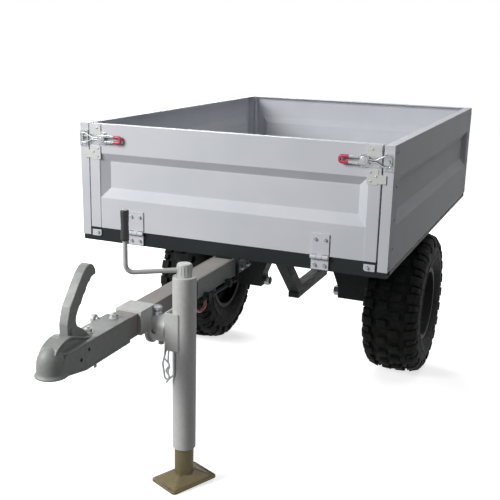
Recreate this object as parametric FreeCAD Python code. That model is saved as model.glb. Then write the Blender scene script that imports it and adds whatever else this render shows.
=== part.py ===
"""Small tipping log trailer on two low-pressure tyres, parked on its side jack.

The trailer is drawn in its own square frame, in millimetres: +X to the side of the
jack, +Y to the rear, +Z up from the underside of the tyres, with y = 0 at the front of
the box. Parked, it stands nose-down on the jack, so every piece is turned by the stance
angle and moved so that the coupler's ball centre is the origin before it is written out.
"""
import FreeCAD
import Part
import math
import os

V = FreeCAD.Vector
ORIGIN = V(0, 0, 0)
X_AXIS = V(1, 0, 0)
Y_AXIS = V(0, 1, 0)
Z_AXIS = V(0, 0, 1)

# Clearances
REST_GAP = 0.3
RUNNING_GAP = 0.05
SWING_GAP = 5.0

# Wheels
AXLE_Y = 805.0
TYRE_RADIUS = 283.0
TYRE_WIDTH = 218.0
TYRE_WALL = 9.0
TYRE_STEPS = 48
LUG_DEPTH = 15.0
LUG_INNER_X = 6.0
HALF_TRACK = 437.0
RIM_BEAD_RADIUS = 127.0
RIM_WIDTH = 184.0
RIM_FLANGE_HEIGHT = 13.0
RIM_WALL = 4.0
RIM_WELL_DEPTH = 20.0
RIM_DISC_THICKNESS = 6.0
RIM_DISC_OFFSET = 28.0
HUB_RADIUS = 34.0
HUB_FLANGE_RADIUS = 62.0
HUB_FLANGE_THICKNESS = 9.0
HUB_LENGTH = 150.0
AXLE_RADIUS = 15.0

# Drawbar and beam, both of the same square tube
BEAM_SIZE = 60.0
BEAM_WALL = 4.0
BEAM_TOP = 603.0
DRAWBAR_FRONT = -850.0
DRAWBAR_REAR = -10.0
SPLICE_THICKNESS = 6.0
SPLICE_FRONT = -262.0
SPLICE_REAR = 130.0
BEAM_BOTTOM = BEAM_TOP - BEAM_SIZE
BEAM_HALF = BEAM_SIZE / 2
BEAM_MID = BEAM_TOP - BEAM_HALF

# Lower truss under the beam
STRUT_SIZE = 45.0
STRUT_WALL = 3.0
LOWER_BEAM_Z = 282.0
LOWER_BEAM_FRONT = 735.0
LOWER_BEAM_SETBACK = 60.0
STRUT_TOP_Y = 465.0

# Axle arch
ARCH_DEPTH = 80.0
ARCH_BEAM_HEIGHT = 60.0
ARCH_WALL = 5.0
CARRIER_OUTER_X = HALF_TRACK - 117.0
CARRIER_FOOT_X = 170.0
CARRIER_HEAD_X = 104.0
CARRIER_BOTTOM = 265.0
CARRIER_KNEE_Z = 309.0
NUT_FLATS = 36.0
NUT_LENGTH = 27.0
SHOULDER_RADIUS = 22.0

# Box
BOX_WIDTH = 1084.0
BOX_LENGTH = 1488.0
BOX_TOP = 1008.0
SHEET = 2.5
PANEL_DEPTH = 30.0
SKIRT_BOTTOM = 622.0
RAIL_HEIGHT = 46.7
RAIL_WIDTH = 40.0
RAIL_WALL = 4.0
FLOOR_THICKNESS = 3.0
POST_SIZE = 32.0
GATE_REST_GAP = 1.0
BOX_HALF = BOX_WIDTH / 2
RAIL_BOTTOM = BEAM_TOP + REST_GAP
RAIL_TOP = RAIL_BOTTOM + RAIL_HEIGHT
GATE_HALF = BOX_HALF - POST_SIZE - SWING_GAP

# Pressed recess in every panel
RECESS_BOTTOM = 757.0
RECESS_TOP = 910.0
RECESS_DEPTH = 20.0
RECESS_END_MARGIN = 38.0
RECESS_SLOPE_LOW = 34.0
RECESS_SLOPE_HIGH = 28.0
RECESS_SLOPE_END = 30.0

# Gate hinges
HINGE_X = 328.0
HINGE_WIDTH = 57.0
HINGE_LEAF = 4.0
HINGE_TOP = 721.0
HINGE_FOOT = 607.0
KNUCKLE_RADIUS = 7.0
HINGE_PIN_RADIUS = 4.0
HINGE_OFFSET = 8.0
KNUCKLE_GAP = 1.0
HINGE_Z = RAIL_TOP - 2.0

# Gate latches
LATCH_Z = 960.0
LATCH_PLATE_INNER = GATE_HALF - 65.0
LATCH_PLATE_HEIGHT = 42.0
LATCH_PLATE_THICKNESS = 3.0
LATCH_PIVOT_X = GATE_HALF - 52.0
LATCH_PIVOT_RADIUS = 13.0
LATCH_LINK_THICKNESS = 4.0
LATCH_LINK_HEIGHT = 22.0
LATCH_STANDOFF = 9.0
LATCH_GRIP_INNER = GATE_HALF - 131.0
LATCH_GRIP_OUTER = GATE_HALF - 101.0
CATCH_NOSE_RADIUS = 5.0
CATCH_X = BOX_HALF - 16.0
CLAW_START = CATCH_X - 40.0
CLAW_REACH = 20.0
CLAW_WIDTH = 7.0

# Tipping pivot
PIVOT_Y = 1150.0
LOWER_BEAM_REAR = PIVOT_Y - LOWER_BEAM_SETBACK
PIVOT_BARREL_RADIUS = 29.0
PIVOT_BARREL_HALF = 34.0
PIVOT_PIN_RADIUS = 12.0
PIVOT_EAR_INNER = 36.0
PIVOT_EAR_THICKNESS = 8.0
PIVOT_PIN_END = 6.0

# Coupler for a 50 mm ball
BALL_Y = -934.0
BALL_Z = 580.0
SOCKET_RADIUS = 25.3
LIP_Z = 555.0
LIP_RADIUS = 39.0
LIP_THICKNESS = 5.0
DOME_RADIUS = 33.0
DOME_TOP = 642.0
COUPLER_WALL = 5.0
COUPLER_REAR = -648.0
COUPLER_SKIRT_BOTTOM = 541.0
HANDLE_WIDTH = 26.0
HANDLE_FOOT = 36.0
HANDLE_HEIGHT = 175.0

# Side jack
JACK_X = 127.0
JACK_Y = -526.0
JACK_PIVOT_Z = 545.0
JACK_TUBE_RADIUS = 31.75
JACK_TUBE_BOTTOM = 209.0
JACK_TUBE_TOP = 698.0
LEG_RADIUS = 26.5
LEG_WALL = 4.0
LEG_TOP = 560.0
FOOT_Z = 107.0
FOOT_LENGTH = 152.0
FOOT_WIDTH = 106.0
FOOT_CORNER = 12.0
FOOT_THICKNESS = 7.0
FOOT_PYRAMID = 22.0
FOOT_TURN_DEG = 65.0
SWIVEL_RADIUS = 37.0
SWIVEL_STUB_RADIUS = 30.0
SWIVEL_FLANGE = 8.0
SWIVEL_END_X = 84.0
CLAMP_FRONT = -600.0
CLAMP_REAR = -525.0
CLAMP_THICKNESS = 5.0
SADDLE_X = 85.0
SADDLE_END_X = JACK_X - 2.0
SADDLE_BOTTOM = 496.0
SADDLE_TOP = 601.0
SADDLE_HALF = 35.0
SADDLE_WALL = 5.0
CLIP_RADIUS = 2.5
CLIP_DROP = 92.0
LOCK_PIN_X = 46.0
CAP_RADIUS = 20.0
CAP_HEIGHT = 35.0
CRANK_RADIUS = 6.5
CRANK_REACH_X = 122.0
CRANK_REACH_Y = 92.0
CRANK_BEND = 22.0
CRANK_GRIP_RADIUS = 11.0
CRANK_GRIP_BOTTOM = 800.0
CRANK_GRIP_TOP = 880.0

# Tipping latch along the foot of the drawbar's right side plate
TIP_LATCH_X = 46.0
TIP_GUIDE_LENGTH = 18.0
TIP_GUIDE_PLACES = (-214.0, -60.0)
TIP_BOLT_RADIUS = 5.0
TIP_BOLT_REAR = -5.0
TIP_GRIP_Y = -236.0
TIP_GRIP_RADIUS = 4.0
TIP_GRIP_DROP = 24.0
TIP_GRIP_REACH = 64.0
TIP_GRIP_HOOK = 40.0
STRIKER_DEPTH = 12.0

# Stance: the wheels and the foot's front corner stand on level ground
FOOT_TURN = math.radians(FOOT_TURN_DEG)
FOOT_REACH = ((FOOT_LENGTH / 2 - FOOT_CORNER) * math.sin(FOOT_TURN)
              + (FOOT_WIDTH / 2 - FOOT_CORNER) * math.cos(FOOT_TURN) + FOOT_CORNER)
STANCE = math.atan2(FOOT_Z, AXLE_Y - JACK_Y + FOOT_REACH)
STANCE_DEG = math.degrees(STANCE)
AXLE_Z = TYRE_RADIUS / math.cos(STANCE)


def block(x0, x1, y0, y1, z0, z1):
    """Return a box between two opposite corners."""
    return Part.makeBox(x1 - x0, y1 - y0, z1 - z0, V(x0, y0, z0))


def rod(radius, start, end):
    """Return a round bar from one point to another."""
    return Part.makeCylinder(radius, (end - start).Length, start, end - start)


def prism_x(outline, x0, x1):
    """Return an outline of (y, z) points drawn out along X."""
    points = [V(x0, y, z) for y, z in outline]
    face = Part.Face(Part.makePolygon(points + points[:1]))
    return face.extrude(V(x1 - x0, 0, 0))


def prism_y(outline, y0, y1):
    """Return an outline of (x, z) points drawn out along Y."""
    points = [V(x, y0, z) for x, z in outline]
    face = Part.Face(Part.makePolygon(points + points[:1]))
    return face.extrude(V(0, y1 - y0, 0))


def revolve_x(outline, centre):
    """Return an outline of (x, radius) points turned about the X axis at a centre."""
    points = [V(x, 0, radius) for x, radius in outline]
    face = Part.Face(Part.makePolygon(points + points[:1]))
    solid = face.revolve(ORIGIN, X_AXIS, 360)
    solid.translate(centre)
    return solid


def square_tube_y(half, wall, y0, y1, z_mid):
    """Return a square tube along Y, open at both ends."""
    outer = block(-half, half, y0, y1, z_mid - half, z_mid + half)
    inner = half - wall
    return outer.cut(block(-inner, inner, y0 - 1, y1 + 1, z_mid - inner, z_mid + inner))


def bent_rod(points, bend, radius):
    """Return a round rod along straight runs that are joined by tangent arcs."""
    edges = []
    start = points[0]
    for before, corner, after in zip(points, points[1:], points[2:]):
        back = (before - corner).normalize()
        ahead = (after - corner).normalize()
        half_angle = back.getAngle(ahead) / 2
        setback = bend / math.tan(half_angle)
        arc_start = corner + back * setback
        arc_end = corner + ahead * setback
        bisector = (back + ahead).normalize()
        middle = corner + bisector * (bend / math.sin(half_angle) - bend)
        edges.append(Part.LineSegment(start, arc_start).toShape())
        edges.append(Part.Arc(arc_start, middle, arc_end).toShape())
        start = arc_end
    edges.append(Part.LineSegment(start, points[-1]).toShape())
    section = Part.Wire(Part.makeCircle(radius, points[0], points[1] - points[0]))
    return Part.Wire(edges).makePipeShell([section], True, True)


def hexagon_x(flats, x0, x1, y, z):
    """Return a hexagonal bar along X."""
    corner = flats / math.sqrt(3)
    angles = [math.radians(60 * turn) for turn in range(6)]
    outline = [(y + corner * math.cos(a), z + corner * math.sin(a)) for a in angles]
    return prism_x(outline, x0, x1)


def mirror_x(shape):
    """Return the same piece on the other side of the trailer."""
    return shape.mirror(ORIGIN, X_AXIS)


def mirror_ends(shape):
    """Return the same piece at the other end of the box."""
    return shape.mirror(V(0, BOX_LENGTH / 2, 0), Y_AXIS)


def both_sides(shape):
    """Return a piece and its mirror image as one group of two solids."""
    return Part.makeCompound([shape, mirror_x(shape)])


def frustum(half_out, low_out, high_out, half_in, low_in, high_in, depth_out, depth_in):
    """Return a tapered block between two upright rectangles, facing -Y."""
    wires = []
    table = ((half_out, low_out, high_out, depth_out), (half_in, low_in, high_in, depth_in))
    for half, low, high, depth in table:
        corners = [V(-half, depth, low), V(half, depth, low), V(half, depth, high), V(-half, depth, high)]
        wires.append(Part.makePolygon(corners + corners[:1]))
    return Part.makeLoft(wires, True, True)


def pressed_panel(half_length, bottom):
    """Return a folded sheet panel with its outer face on y = 0 and its inside at +Y.

    The edges are folded in by the panel's depth, and the long recess is pressed
    inwards, so it shows as a bulge on the inside.
    """
    pan = block(-half_length, half_length, 0, PANEL_DEPTH, bottom, BOX_TOP)
    inside = half_length - SHEET
    pan = pan.cut(block(-inside, inside, SHEET, PANEL_DEPTH + 1, bottom + SHEET, BOX_TOP - SHEET))
    half_out = half_length - RECESS_END_MARGIN
    half_in = half_out - RECESS_SLOPE_END
    low_in = RECESS_BOTTOM + RECESS_SLOPE_LOW
    high_in = RECESS_TOP - RECESS_SLOPE_HIGH
    pressing = (half_out, RECESS_BOTTOM, RECESS_TOP, half_in, low_in, high_in)
    grown = [size + grow for size, grow in zip(pressing, (SHEET, -SHEET, SHEET) * 2)]
    bulge = frustum(*grown, SHEET / 2, RECESS_DEPTH + SHEET)
    pocket = frustum(*pressing, 0, RECESS_DEPTH)
    lead_in = block(-half_out, half_out, -1, 0, RECESS_BOTTOM, RECESS_TOP)
    return pan.fuse(bulge).cut(pocket.fuse(lead_in)).removeSplitter()


def side_panel():
    """Return the right side panel, with the skirt that covers the side rail."""
    half_length = BOX_LENGTH / 2 - POST_SIZE
    panel = pressed_panel(half_length, RAIL_TOP)
    skirt = block(-half_length, half_length, 0, SHEET, SKIRT_BOTTOM, RAIL_TOP + SHEET)
    panel = panel.fuse(skirt).removeSplitter()
    panel.rotate(ORIGIN, Z_AXIS, 90)
    panel.translate(V(BOX_HALF, BOX_LENGTH / 2, 0))
    return panel


def corner_post():
    """Return the front right corner post, with its skirt over the rails' corner."""
    inner = BOX_HALF - POST_SIZE
    post = block(inner, BOX_HALF, 0, POST_SIZE, RAIL_TOP, BOX_TOP)
    post = post.cut(block(inner + SHEET, BOX_HALF - SHEET, SHEET, POST_SIZE - SHEET, RAIL_TOP - 1, BOX_TOP - SHEET))
    skirt = block(inner, BOX_HALF, 0, POST_SIZE, SKIRT_BOTTOM, RAIL_TOP)
    skirt = skirt.cut(block(inner - 1, BOX_HALF - SHEET, SHEET, POST_SIZE + 1, SKIRT_BOTTOM - 1, RAIL_TOP + 1))
    return post.fuse(skirt).removeSplitter()


def hinge_leaves():
    """Return a front hinge's upper leaf, which swings, and its lower leaf with the pin."""
    x0 = HINGE_X - HINGE_WIDTH / 2
    x1 = HINGE_X + HINGE_WIDTH / 2
    third = HINGE_WIDTH / 3
    inner = x0 + third
    outer = x1 - third
    axis_y = -HINGE_OFFSET
    reach = KNUCKLE_RADIUS + KNUCKLE_GAP

    def knuckle(a, b):
        return rod(KNUCKLE_RADIUS, V(a, axis_y, HINGE_Z), V(b, axis_y, HINGE_Z))

    upper = block(x0, x1, -HINGE_LEAF, 0, HINGE_Z + reach, HINGE_TOP)
    web = block(inner + KNUCKLE_GAP, outer - KNUCKLE_GAP, -HINGE_LEAF, -KNUCKLE_GAP, HINGE_Z, HINGE_Z + reach)
    upper = upper.fuse(web).fuse(knuckle(inner + KNUCKLE_GAP, outer - KNUCKLE_GAP))
    bore = rod(HINGE_PIN_RADIUS + RUNNING_GAP, V(x0, axis_y, HINGE_Z), V(x1, axis_y, HINGE_Z))
    upper = upper.cut(bore)
    lower = block(x0, x1, -HINGE_LEAF, SHEET, HINGE_FOOT, HINGE_Z - reach)
    for a, b in ((x0, inner), (outer, x1)):
        web = block(a, b, -HINGE_LEAF, -KNUCKLE_GAP, HINGE_Z - reach, HINGE_Z)
        lower = lower.fuse(web).fuse(knuckle(a, b))
    lower = lower.fuse(rod(HINGE_PIN_RADIUS, V(x0, axis_y, HINGE_Z), V(x1, axis_y, HINGE_Z)))
    return upper.removeSplitter(), lower.removeSplitter()


def latch():
    """Return a front right toggle latch: its lever with the claw, its red grip and its catch."""
    low = LATCH_Z - LATCH_PLATE_HEIGHT / 2
    high = LATCH_Z + LATCH_PLATE_HEIGHT / 2
    plate = block(LATCH_PLATE_INNER, GATE_HALF, -LATCH_PLATE_THICKNESS, 0, low, high)
    back = -LATCH_STANDOFF
    front = back - LATCH_LINK_THICKNESS
    pivot = rod(LATCH_PIVOT_RADIUS, V(LATCH_PIVOT_X, 0, LATCH_Z), V(LATCH_PIVOT_X, front - 3, LATCH_Z))
    half = LATCH_LINK_HEIGHT / 2
    inner = LATCH_GRIP_INNER
    link = block(inner + 6, LATCH_PIVOT_X + half, front, back, LATCH_Z - half, LATCH_Z + half)
    stem_half = CLAW_WIDTH / 2
    stem = block(LATCH_PIVOT_X, CLAW_START + 2, front, back, LATCH_Z - stem_half, LATCH_Z + stem_half)
    lever = plate.fuse(pivot).fuse(link).fuse(stem)
    tip = CATCH_X + 2
    for sign in (1, -1):
        arm = [(CLAW_START, -stem_half), (tip, CLAW_REACH - CLAW_WIDTH), (tip, CLAW_REACH), (CLAW_START, stem_half)]
        outline = [(x, LATCH_Z + sign * z) for x, z in arm]
        lever = lever.fuse(prism_y(outline, front, back))
    grip = block(inner, LATCH_GRIP_OUTER, front - 4, 4 + back, LATCH_Z - half - 2, LATCH_Z + half + 2)
    gap = block(inner + 9, LATCH_GRIP_OUTER + 1, front - 5, 5 + back, LATCH_Z - 5, LATCH_Z + 5)
    grip = grip.cut(gap)
    lever = lever.cut(grip).cut(gap)
    catch_plate = block(BOX_HALF - POST_SIZE, BOX_HALF, -LATCH_PLATE_THICKNESS, 0, low - 8, high + 4)
    nose = rod(CATCH_NOSE_RADIUS, V(CATCH_X, 0, LATCH_Z), V(CATCH_X, front - 3, LATCH_Z))
    return lever.removeSplitter(), grip, catch_plate.fuse(nose).removeSplitter()


def facet_ring(outlines, walls):
    """Return a ring about the X axis, one flat step for each closed (x, radius) outline.

    The walls are outlines too, and close the ring between every two steps.
    """
    steps = len(outlines)
    half_turn = math.pi / steps
    swell = 1 / math.cos(half_turn)

    def corner(place, boundary):
        angle = half_turn * boundary
        return V(place[0], place[1] * swell * math.sin(angle), -place[1] * swell * math.cos(angle))

    faces = []
    for step, outline in enumerate(outlines):
        for start, end in zip(outline, outline[1:] + outline[:1]):
            quad = [corner(start, 2 * step - 1), corner(end, 2 * step - 1)]
            quad += [corner(end, 2 * step + 1), corner(start, 2 * step + 1)]
            faces.append(Part.Face(Part.makePolygon(quad + quad[:1])))
        for wall in walls:
            points = [corner(place, 2 * step + 1) for place in wall]
            faces.append(Part.Face(Part.makePolygon(points + points[:1])))
    shell = Part.Shell(faces)
    shell.sewShape()
    solid = Part.Solid(shell)
    return solid if solid.Volume > 0 else solid.reversed()


def tyre():
    """Return the knobbly tyre about the origin, its lugs fused and staggered side to side."""
    half = TYRE_WIDTH / 2
    bead = RIM_WIDTH / 2 - RIM_WALL - REST_GAP
    seat = RIM_BEAD_RADIUS + RIM_WALL + REST_GAP
    collar = RIM_BEAD_RADIUS + RIM_WALL + RIM_FLANGE_HEIGHT + 4
    floor = TYRE_RADIUS - LUG_DEPTH
    # columns: distance from the middle, radius
    wall = [(bead, seat), (bead, collar), (half - 6, collar + 20), (half, 0.69 * TYRE_RADIUS)]
    plain = [(half - 3, 0.805 * TYRE_RADIUS), (half - 20, floor - 16), (half - 62, floor - 1), (LUG_INNER_X, floor)]
    lug = [(half, 0.825 * TYRE_RADIUS), (half - 20, TYRE_RADIUS - 12), (LUG_INNER_X, TYRE_RADIUS)]
    lugged = plain[:1] + lug + plain[-1:]
    hollow = [(bead - TYRE_WALL, seat), (half - 13, 0.636 * TYRE_RADIUS), (half - 16, floor - 40)]
    hollow.append((half - 50, floor - 14))
    patch = plain[:1] + lug + plain[:0:-1]

    def mirrored(outline):
        return [(-x, radius) for x, radius in reversed(outline)]

    right_lug = wall + lugged + mirrored(wall + plain) + hollow_side(hollow)
    left_lug = wall + plain + mirrored(wall + lugged) + hollow_side(hollow)
    return facet_ring([right_lug, left_lug] * (TYRE_STEPS // 2), [patch, mirrored(patch)])


def hollow_side(hollow):
    """Return the inside of a tyre's outline, from the left bead to the right one."""
    return [(-x, radius) for x, radius in hollow] + hollow[::-1]


def rim():
    """Return the pressed rim with its disc towards +X, about the origin."""
    half = RIM_WIDTH / 2
    flange = RIM_BEAD_RADIUS + RIM_WALL + RIM_FLANGE_HEIGHT
    seat = RIM_BEAD_RADIUS + RIM_WALL
    well = seat - RIM_WELL_DEPTH
    disc_out = RIM_DISC_OFFSET + RIM_DISC_THICKNESS
    outline = [(-half, flange), (-half + RIM_WALL, flange), (-half + RIM_WALL, seat), (-50, seat), (-38, well)]
    outline += [(38, well), (50, seat), (half - RIM_WALL, seat), (half - RIM_WALL, flange), (half, flange)]
    outline += [(half, seat - RIM_WALL), (52, seat - RIM_WALL), (40, well - RIM_WALL)]
    outline += [(disc_out, well - RIM_WALL), (disc_out, HUB_RADIUS), (RIM_DISC_OFFSET, HUB_RADIUS)]
    outline += [(RIM_DISC_OFFSET, well - RIM_WALL), (-40, well - RIM_WALL), (-52, seat - RIM_WALL)]
    outline += [(-half, seat - RIM_WALL)]
    return revolve_x(outline, ORIGIN)


def hub():
    """Return the hub about the origin, with its cap towards +X and a blind bore."""
    flange_end = RIM_DISC_OFFSET
    flange_start = flange_end - HUB_FLANGE_THICKNESS
    cap_end = RIM_DISC_OFFSET + RIM_DISC_THICKNESS + 34
    inner_end = cap_end - HUB_LENGTH
    bore = AXLE_RADIUS + RUNNING_GAP
    bore_end = cap_end - 8
    outline = [(inner_end, bore), (inner_end, HUB_RADIUS + 4), (flange_start, HUB_RADIUS + 4)]
    outline += [(flange_start, HUB_FLANGE_RADIUS), (flange_end, HUB_FLANGE_RADIUS), (flange_end, HUB_RADIUS)]
    outline += [(cap_end - 6, HUB_RADIUS), (cap_end, HUB_RADIUS - 6), (cap_end, 0), (bore_end, 0), (bore_end, bore)]
    return revolve_x(outline, ORIGIN)


def axle_cross_beam():
    """Return the axle arch's cross beam, a box section under the main beam."""
    low = BEAM_BOTTOM - ARCH_BEAM_HEIGHT
    wall = ARCH_WALL
    y0 = AXLE_Y - ARCH_DEPTH / 2
    y1 = AXLE_Y + ARCH_DEPTH / 2
    beam = block(-CARRIER_OUTER_X, CARRIER_OUTER_X, y0, y1, low, BEAM_BOTTOM)
    bore_half = CARRIER_OUTER_X + 1
    return beam.cut(block(-bore_half, bore_half, y0 + wall, y1 - wall, low + wall, BEAM_BOTTOM - wall))


def carrier():
    """Return the right axle carrier, a welded box leg under the arch's beam."""
    head = BEAM_BOTTOM - ARCH_BEAM_HEIGHT
    y0 = AXLE_Y - ARCH_DEPTH / 2
    y1 = AXLE_Y + ARCH_DEPTH / 2
    outline = [(CARRIER_FOOT_X, CARRIER_BOTTOM), (CARRIER_OUTER_X, CARRIER_BOTTOM), (CARRIER_OUTER_X, head)]
    outline += [(CARRIER_HEAD_X, head), (CARRIER_FOOT_X, CARRIER_KNEE_Z)]
    wall = ARCH_WALL
    hollow = [(CARRIER_FOOT_X + wall, CARRIER_BOTTOM + wall), (CARRIER_OUTER_X - wall, CARRIER_BOTTOM + wall)]
    hollow += [(CARRIER_OUTER_X - wall, head - wall), (CARRIER_HEAD_X + 2 * wall, head - wall)]
    hollow += [(CARRIER_FOOT_X + wall, CARRIER_KNEE_Z + wall)]
    leg = prism_y(outline, y0, y1).cut(prism_y(hollow, y0 + wall, y1 - wall))
    return leg.cut(rod(AXLE_RADIUS, V(0, AXLE_Y, AXLE_Z), V(HALF_TRACK, AXLE_Y, AXLE_Z)))


def stub_axle():
    """Return the right stub axle, from the nut to inside the hub's cap."""
    hub_inner = HALF_TRACK + RIM_DISC_OFFSET + RIM_DISC_THICKNESS + 34 - HUB_LENGTH
    tip = hub_inner + HUB_LENGTH - 12
    axle = rod(AXLE_RADIUS, V(CARRIER_FOOT_X - NUT_LENGTH, AXLE_Y, AXLE_Z), V(tip, AXLE_Y, AXLE_Z))
    shoulder = rod(SHOULDER_RADIUS, V(CARRIER_OUTER_X, AXLE_Y, AXLE_Z), V(hub_inner - REST_GAP, AXLE_Y, AXLE_Z))
    return axle.fuse(shoulder).removeSplitter()


def axle_nut():
    """Return the nut on the inner end of the right stub axle."""
    nut = hexagon_x(NUT_FLATS, CARRIER_FOOT_X - NUT_LENGTH + 3, CARRIER_FOOT_X, AXLE_Y, AXLE_Z)
    return nut.cut(rod(AXLE_RADIUS, V(0, AXLE_Y, AXLE_Z), V(HALF_TRACK, AXLE_Y, AXLE_Z)))


def strut_outline(foot, head, half):
    """Return the (y, z) outline of a sloping strut between the two beams."""
    return [(foot - half, LOWER_BEAM_Z), (foot + half, LOWER_BEAM_Z), (head + half, BEAM_BOTTOM), (head - half, BEAM_BOTTOM)]


def lower_truss():
    """Return the front strut, the lower beam and the rear strut."""
    half = STRUT_SIZE / 2
    inner = half - STRUT_WALL
    rise = BEAM_BOTTOM - LOWER_BEAM_Z
    run = LOWER_BEAM_FRONT - STRUT_TOP_Y
    stretch = math.hypot(rise, run) / rise
    beam = square_tube_y(half, STRUT_WALL, LOWER_BEAM_FRONT, LOWER_BEAM_REAR, LOWER_BEAM_Z)
    strut = prism_x(strut_outline(LOWER_BEAM_FRONT, STRUT_TOP_Y, half * stretch), -half, half)
    strut = strut.cut(prism_x(strut_outline(LOWER_BEAM_FRONT, STRUT_TOP_Y, inner * stretch), -inner, inner))
    toe = block(-half, half, LOWER_BEAM_FRONT - half * 1.6, LOWER_BEAM_FRONT, LOWER_BEAM_Z - half, LOWER_BEAM_Z)
    strut = strut.fuse(toe)
    body = block(-half, half, LOWER_BEAM_FRONT, LOWER_BEAM_REAR, LOWER_BEAM_Z - half, LOWER_BEAM_Z + half)
    strut = strut.cut(body)
    rear_y = LOWER_BEAM_REAR - half
    rear = block(-half, half, rear_y - half, rear_y + half, LOWER_BEAM_Z + half, BEAM_BOTTOM)
    rear = rear.cut(block(-inner, inner, rear_y - inner, rear_y + inner, LOWER_BEAM_Z, BEAM_TOP))
    return strut.removeSplitter(), beam, rear


def coupler_body():
    """Return the coupler: domed socket, humped neck and a channel over the drawbar."""
    side = BEAM_HALF + COUPLER_WALL
    top = BEAM_TOP + COUPLER_WALL
    # columns: radius, height
    dome = [(0, LIP_Z), (LIP_RADIUS, LIP_Z), (LIP_RADIUS, LIP_Z + LIP_THICKNESS), (DOME_RADIUS + 2, LIP_Z + 9)]
    dome += [(DOME_RADIUS, LIP_Z + 24), (DOME_RADIUS, 604), (28, 622), (18, 636), (0, DOME_TOP)]
    points = [V(radius, 0, z) for radius, z in dome]
    socket = Part.Face(Part.makePolygon(points + points[:1])).revolve(ORIGIN, Z_AXIS, 360)
    socket.translate(V(0, BALL_Y, 0))
    hump = [(BALL_Y, LIP_Z + 9), (BALL_Y, 638), (BALL_Y + 40, 638), (BALL_Y + 84, 626), (BALL_Y + 140, top)]
    hump += [(BALL_Y + 140, LIP_Z + 9)]
    neck = prism_x(hump, -DOME_RADIUS + 5, DOME_RADIUS - 5)
    flare = [V(-DOME_RADIUS, BALL_Y, 0), V(DOME_RADIUS, BALL_Y, 0), V(side, DRAWBAR_FRONT, 0), V(-side, DRAWBAR_FRONT, 0)]
    flare = Part.Face(Part.makePolygon(flare + flare[:1])).extrude(V(0, 0, top - COUPLER_SKIRT_BOTTOM - 6))
    flare.translate(V(0, 0, COUPLER_SKIRT_BOTTOM + 6))
    channel = block(-side, side, DRAWBAR_FRONT, COUPLER_REAR, COUPLER_SKIRT_BOTTOM, top)
    body = socket.fuse(flare).fuse(channel).fuse(neck)
    body = body.cut(block(-BEAM_HALF, BEAM_HALF, DRAWBAR_FRONT, COUPLER_REAR + 1, COUPLER_SKIRT_BOTTOM - 1, BEAM_TOP))
    ball = V(0, BALL_Y, BALL_Z)
    bore = Part.makeCylinder(SOCKET_RADIUS, BALL_Z - LIP_Z + 20, V(0, BALL_Y, LIP_Z - 20))
    below = block(-side, side, BALL_Y - side, BALL_Y + LIP_RADIUS, COUPLER_SKIRT_BOTTOM - 1, LIP_Z)
    return body.cut(bore).cut(Part.makeSphere(SOCKET_RADIUS, ball)).cut(below).removeSplitter()


def coupler_handle():
    """Return the coupler's lever, leaning back from the neck's hump."""
    foot = BALL_Y + HANDLE_FOOT
    base = BEAM_TOP + COUPLER_WALL
    # columns: place behind the foot and height, as shares of the lever's height
    shares = ((0.09, 0.07), (0.08, 0.30), (0.11, 0.39), (0.155, 0.53), (0.26, 0.65), (0.36, 0.78), (0.48, 0.91))
    shares += ((0.56, 0.98), (0.645, 1.0), (0.73, 0.94), (0.777, 0.85), (0.64, 0.795), (0.52, 0.67), (0.42, 0.54))
    shares += ((0.315, 0.41), (0.27, 0.31), (0.30, 0.23), (0.475, 0.10), (0.57, 0.0), (0.57, -0.01))
    outline = [(foot + along * HANDLE_HEIGHT, base + up * HANDLE_HEIGHT) for along, up in shares]
    lever = prism_x(outline, -HANDLE_WIDTH / 2, HANDLE_WIDTH / 2)
    return lever.cut(coupler_body())


def jack_mount():
    """Return the swivel pipe, its round flange and the clamp over the drawbar."""
    flange_end = BEAM_HALF + SWIVEL_FLANGE
    flange = rod(SWIVEL_RADIUS + 7, V(BEAM_HALF, JACK_Y, JACK_PIVOT_Z), V(flange_end, JACK_Y, JACK_PIVOT_Z))
    top = BEAM_TOP + CLAMP_THICKNESS
    clamp = block(-flange_end, flange_end, CLAMP_FRONT, CLAMP_REAR, BEAM_BOTTOM, top)
    clamp = clamp.cut(block(-BEAM_HALF, BEAM_HALF, CLAMP_FRONT - 1, CLAMP_REAR + 1, BEAM_BOTTOM - 1, BEAM_TOP))
    start = V(BEAM_HALF, JACK_Y, JACK_PIVOT_Z)
    pipe = rod(SWIVEL_RADIUS, start, V(SWIVEL_END_X, JACK_Y, JACK_PIVOT_Z))
    bore = rod(SWIVEL_STUB_RADIUS + RUNNING_GAP, V(flange_end, JACK_Y, JACK_PIVOT_Z), V(SWIVEL_END_X + 1, JACK_Y, JACK_PIVOT_Z))
    hole_y = JACK_Y - SWIVEL_RADIUS - 1
    hole = rod(7, V(LOCK_PIN_X + 8, hole_y, JACK_PIVOT_Z), V(LOCK_PIN_X + 8, JACK_Y, JACK_PIVOT_Z))
    return clamp.fuse(flange).fuse(pipe).cut(bore).cut(hole).removeSplitter()


def jack_lock_pin():
    """Return the spring plunger that stands on the swivel pipe."""
    base = JACK_PIVOT_Z + SWIVEL_RADIUS
    collar = Part.makeCylinder(12, 12, V(LOCK_PIN_X, JACK_Y, base - 3))
    stem = Part.makeCylinder(5, 20, V(LOCK_PIN_X, JACK_Y, base - 3))
    knob = Part.makeCylinder(14, 12, V(LOCK_PIN_X, JACK_Y, base + 13))
    pin = collar.fuse(stem).fuse(knob)
    pipe = rod(SWIVEL_RADIUS, V(BEAM_HALF, JACK_Y, JACK_PIVOT_Z), V(SWIVEL_END_X, JACK_Y, JACK_PIVOT_Z))
    return pin.cut(pipe).cut(jack_mount()).removeSplitter()


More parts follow.
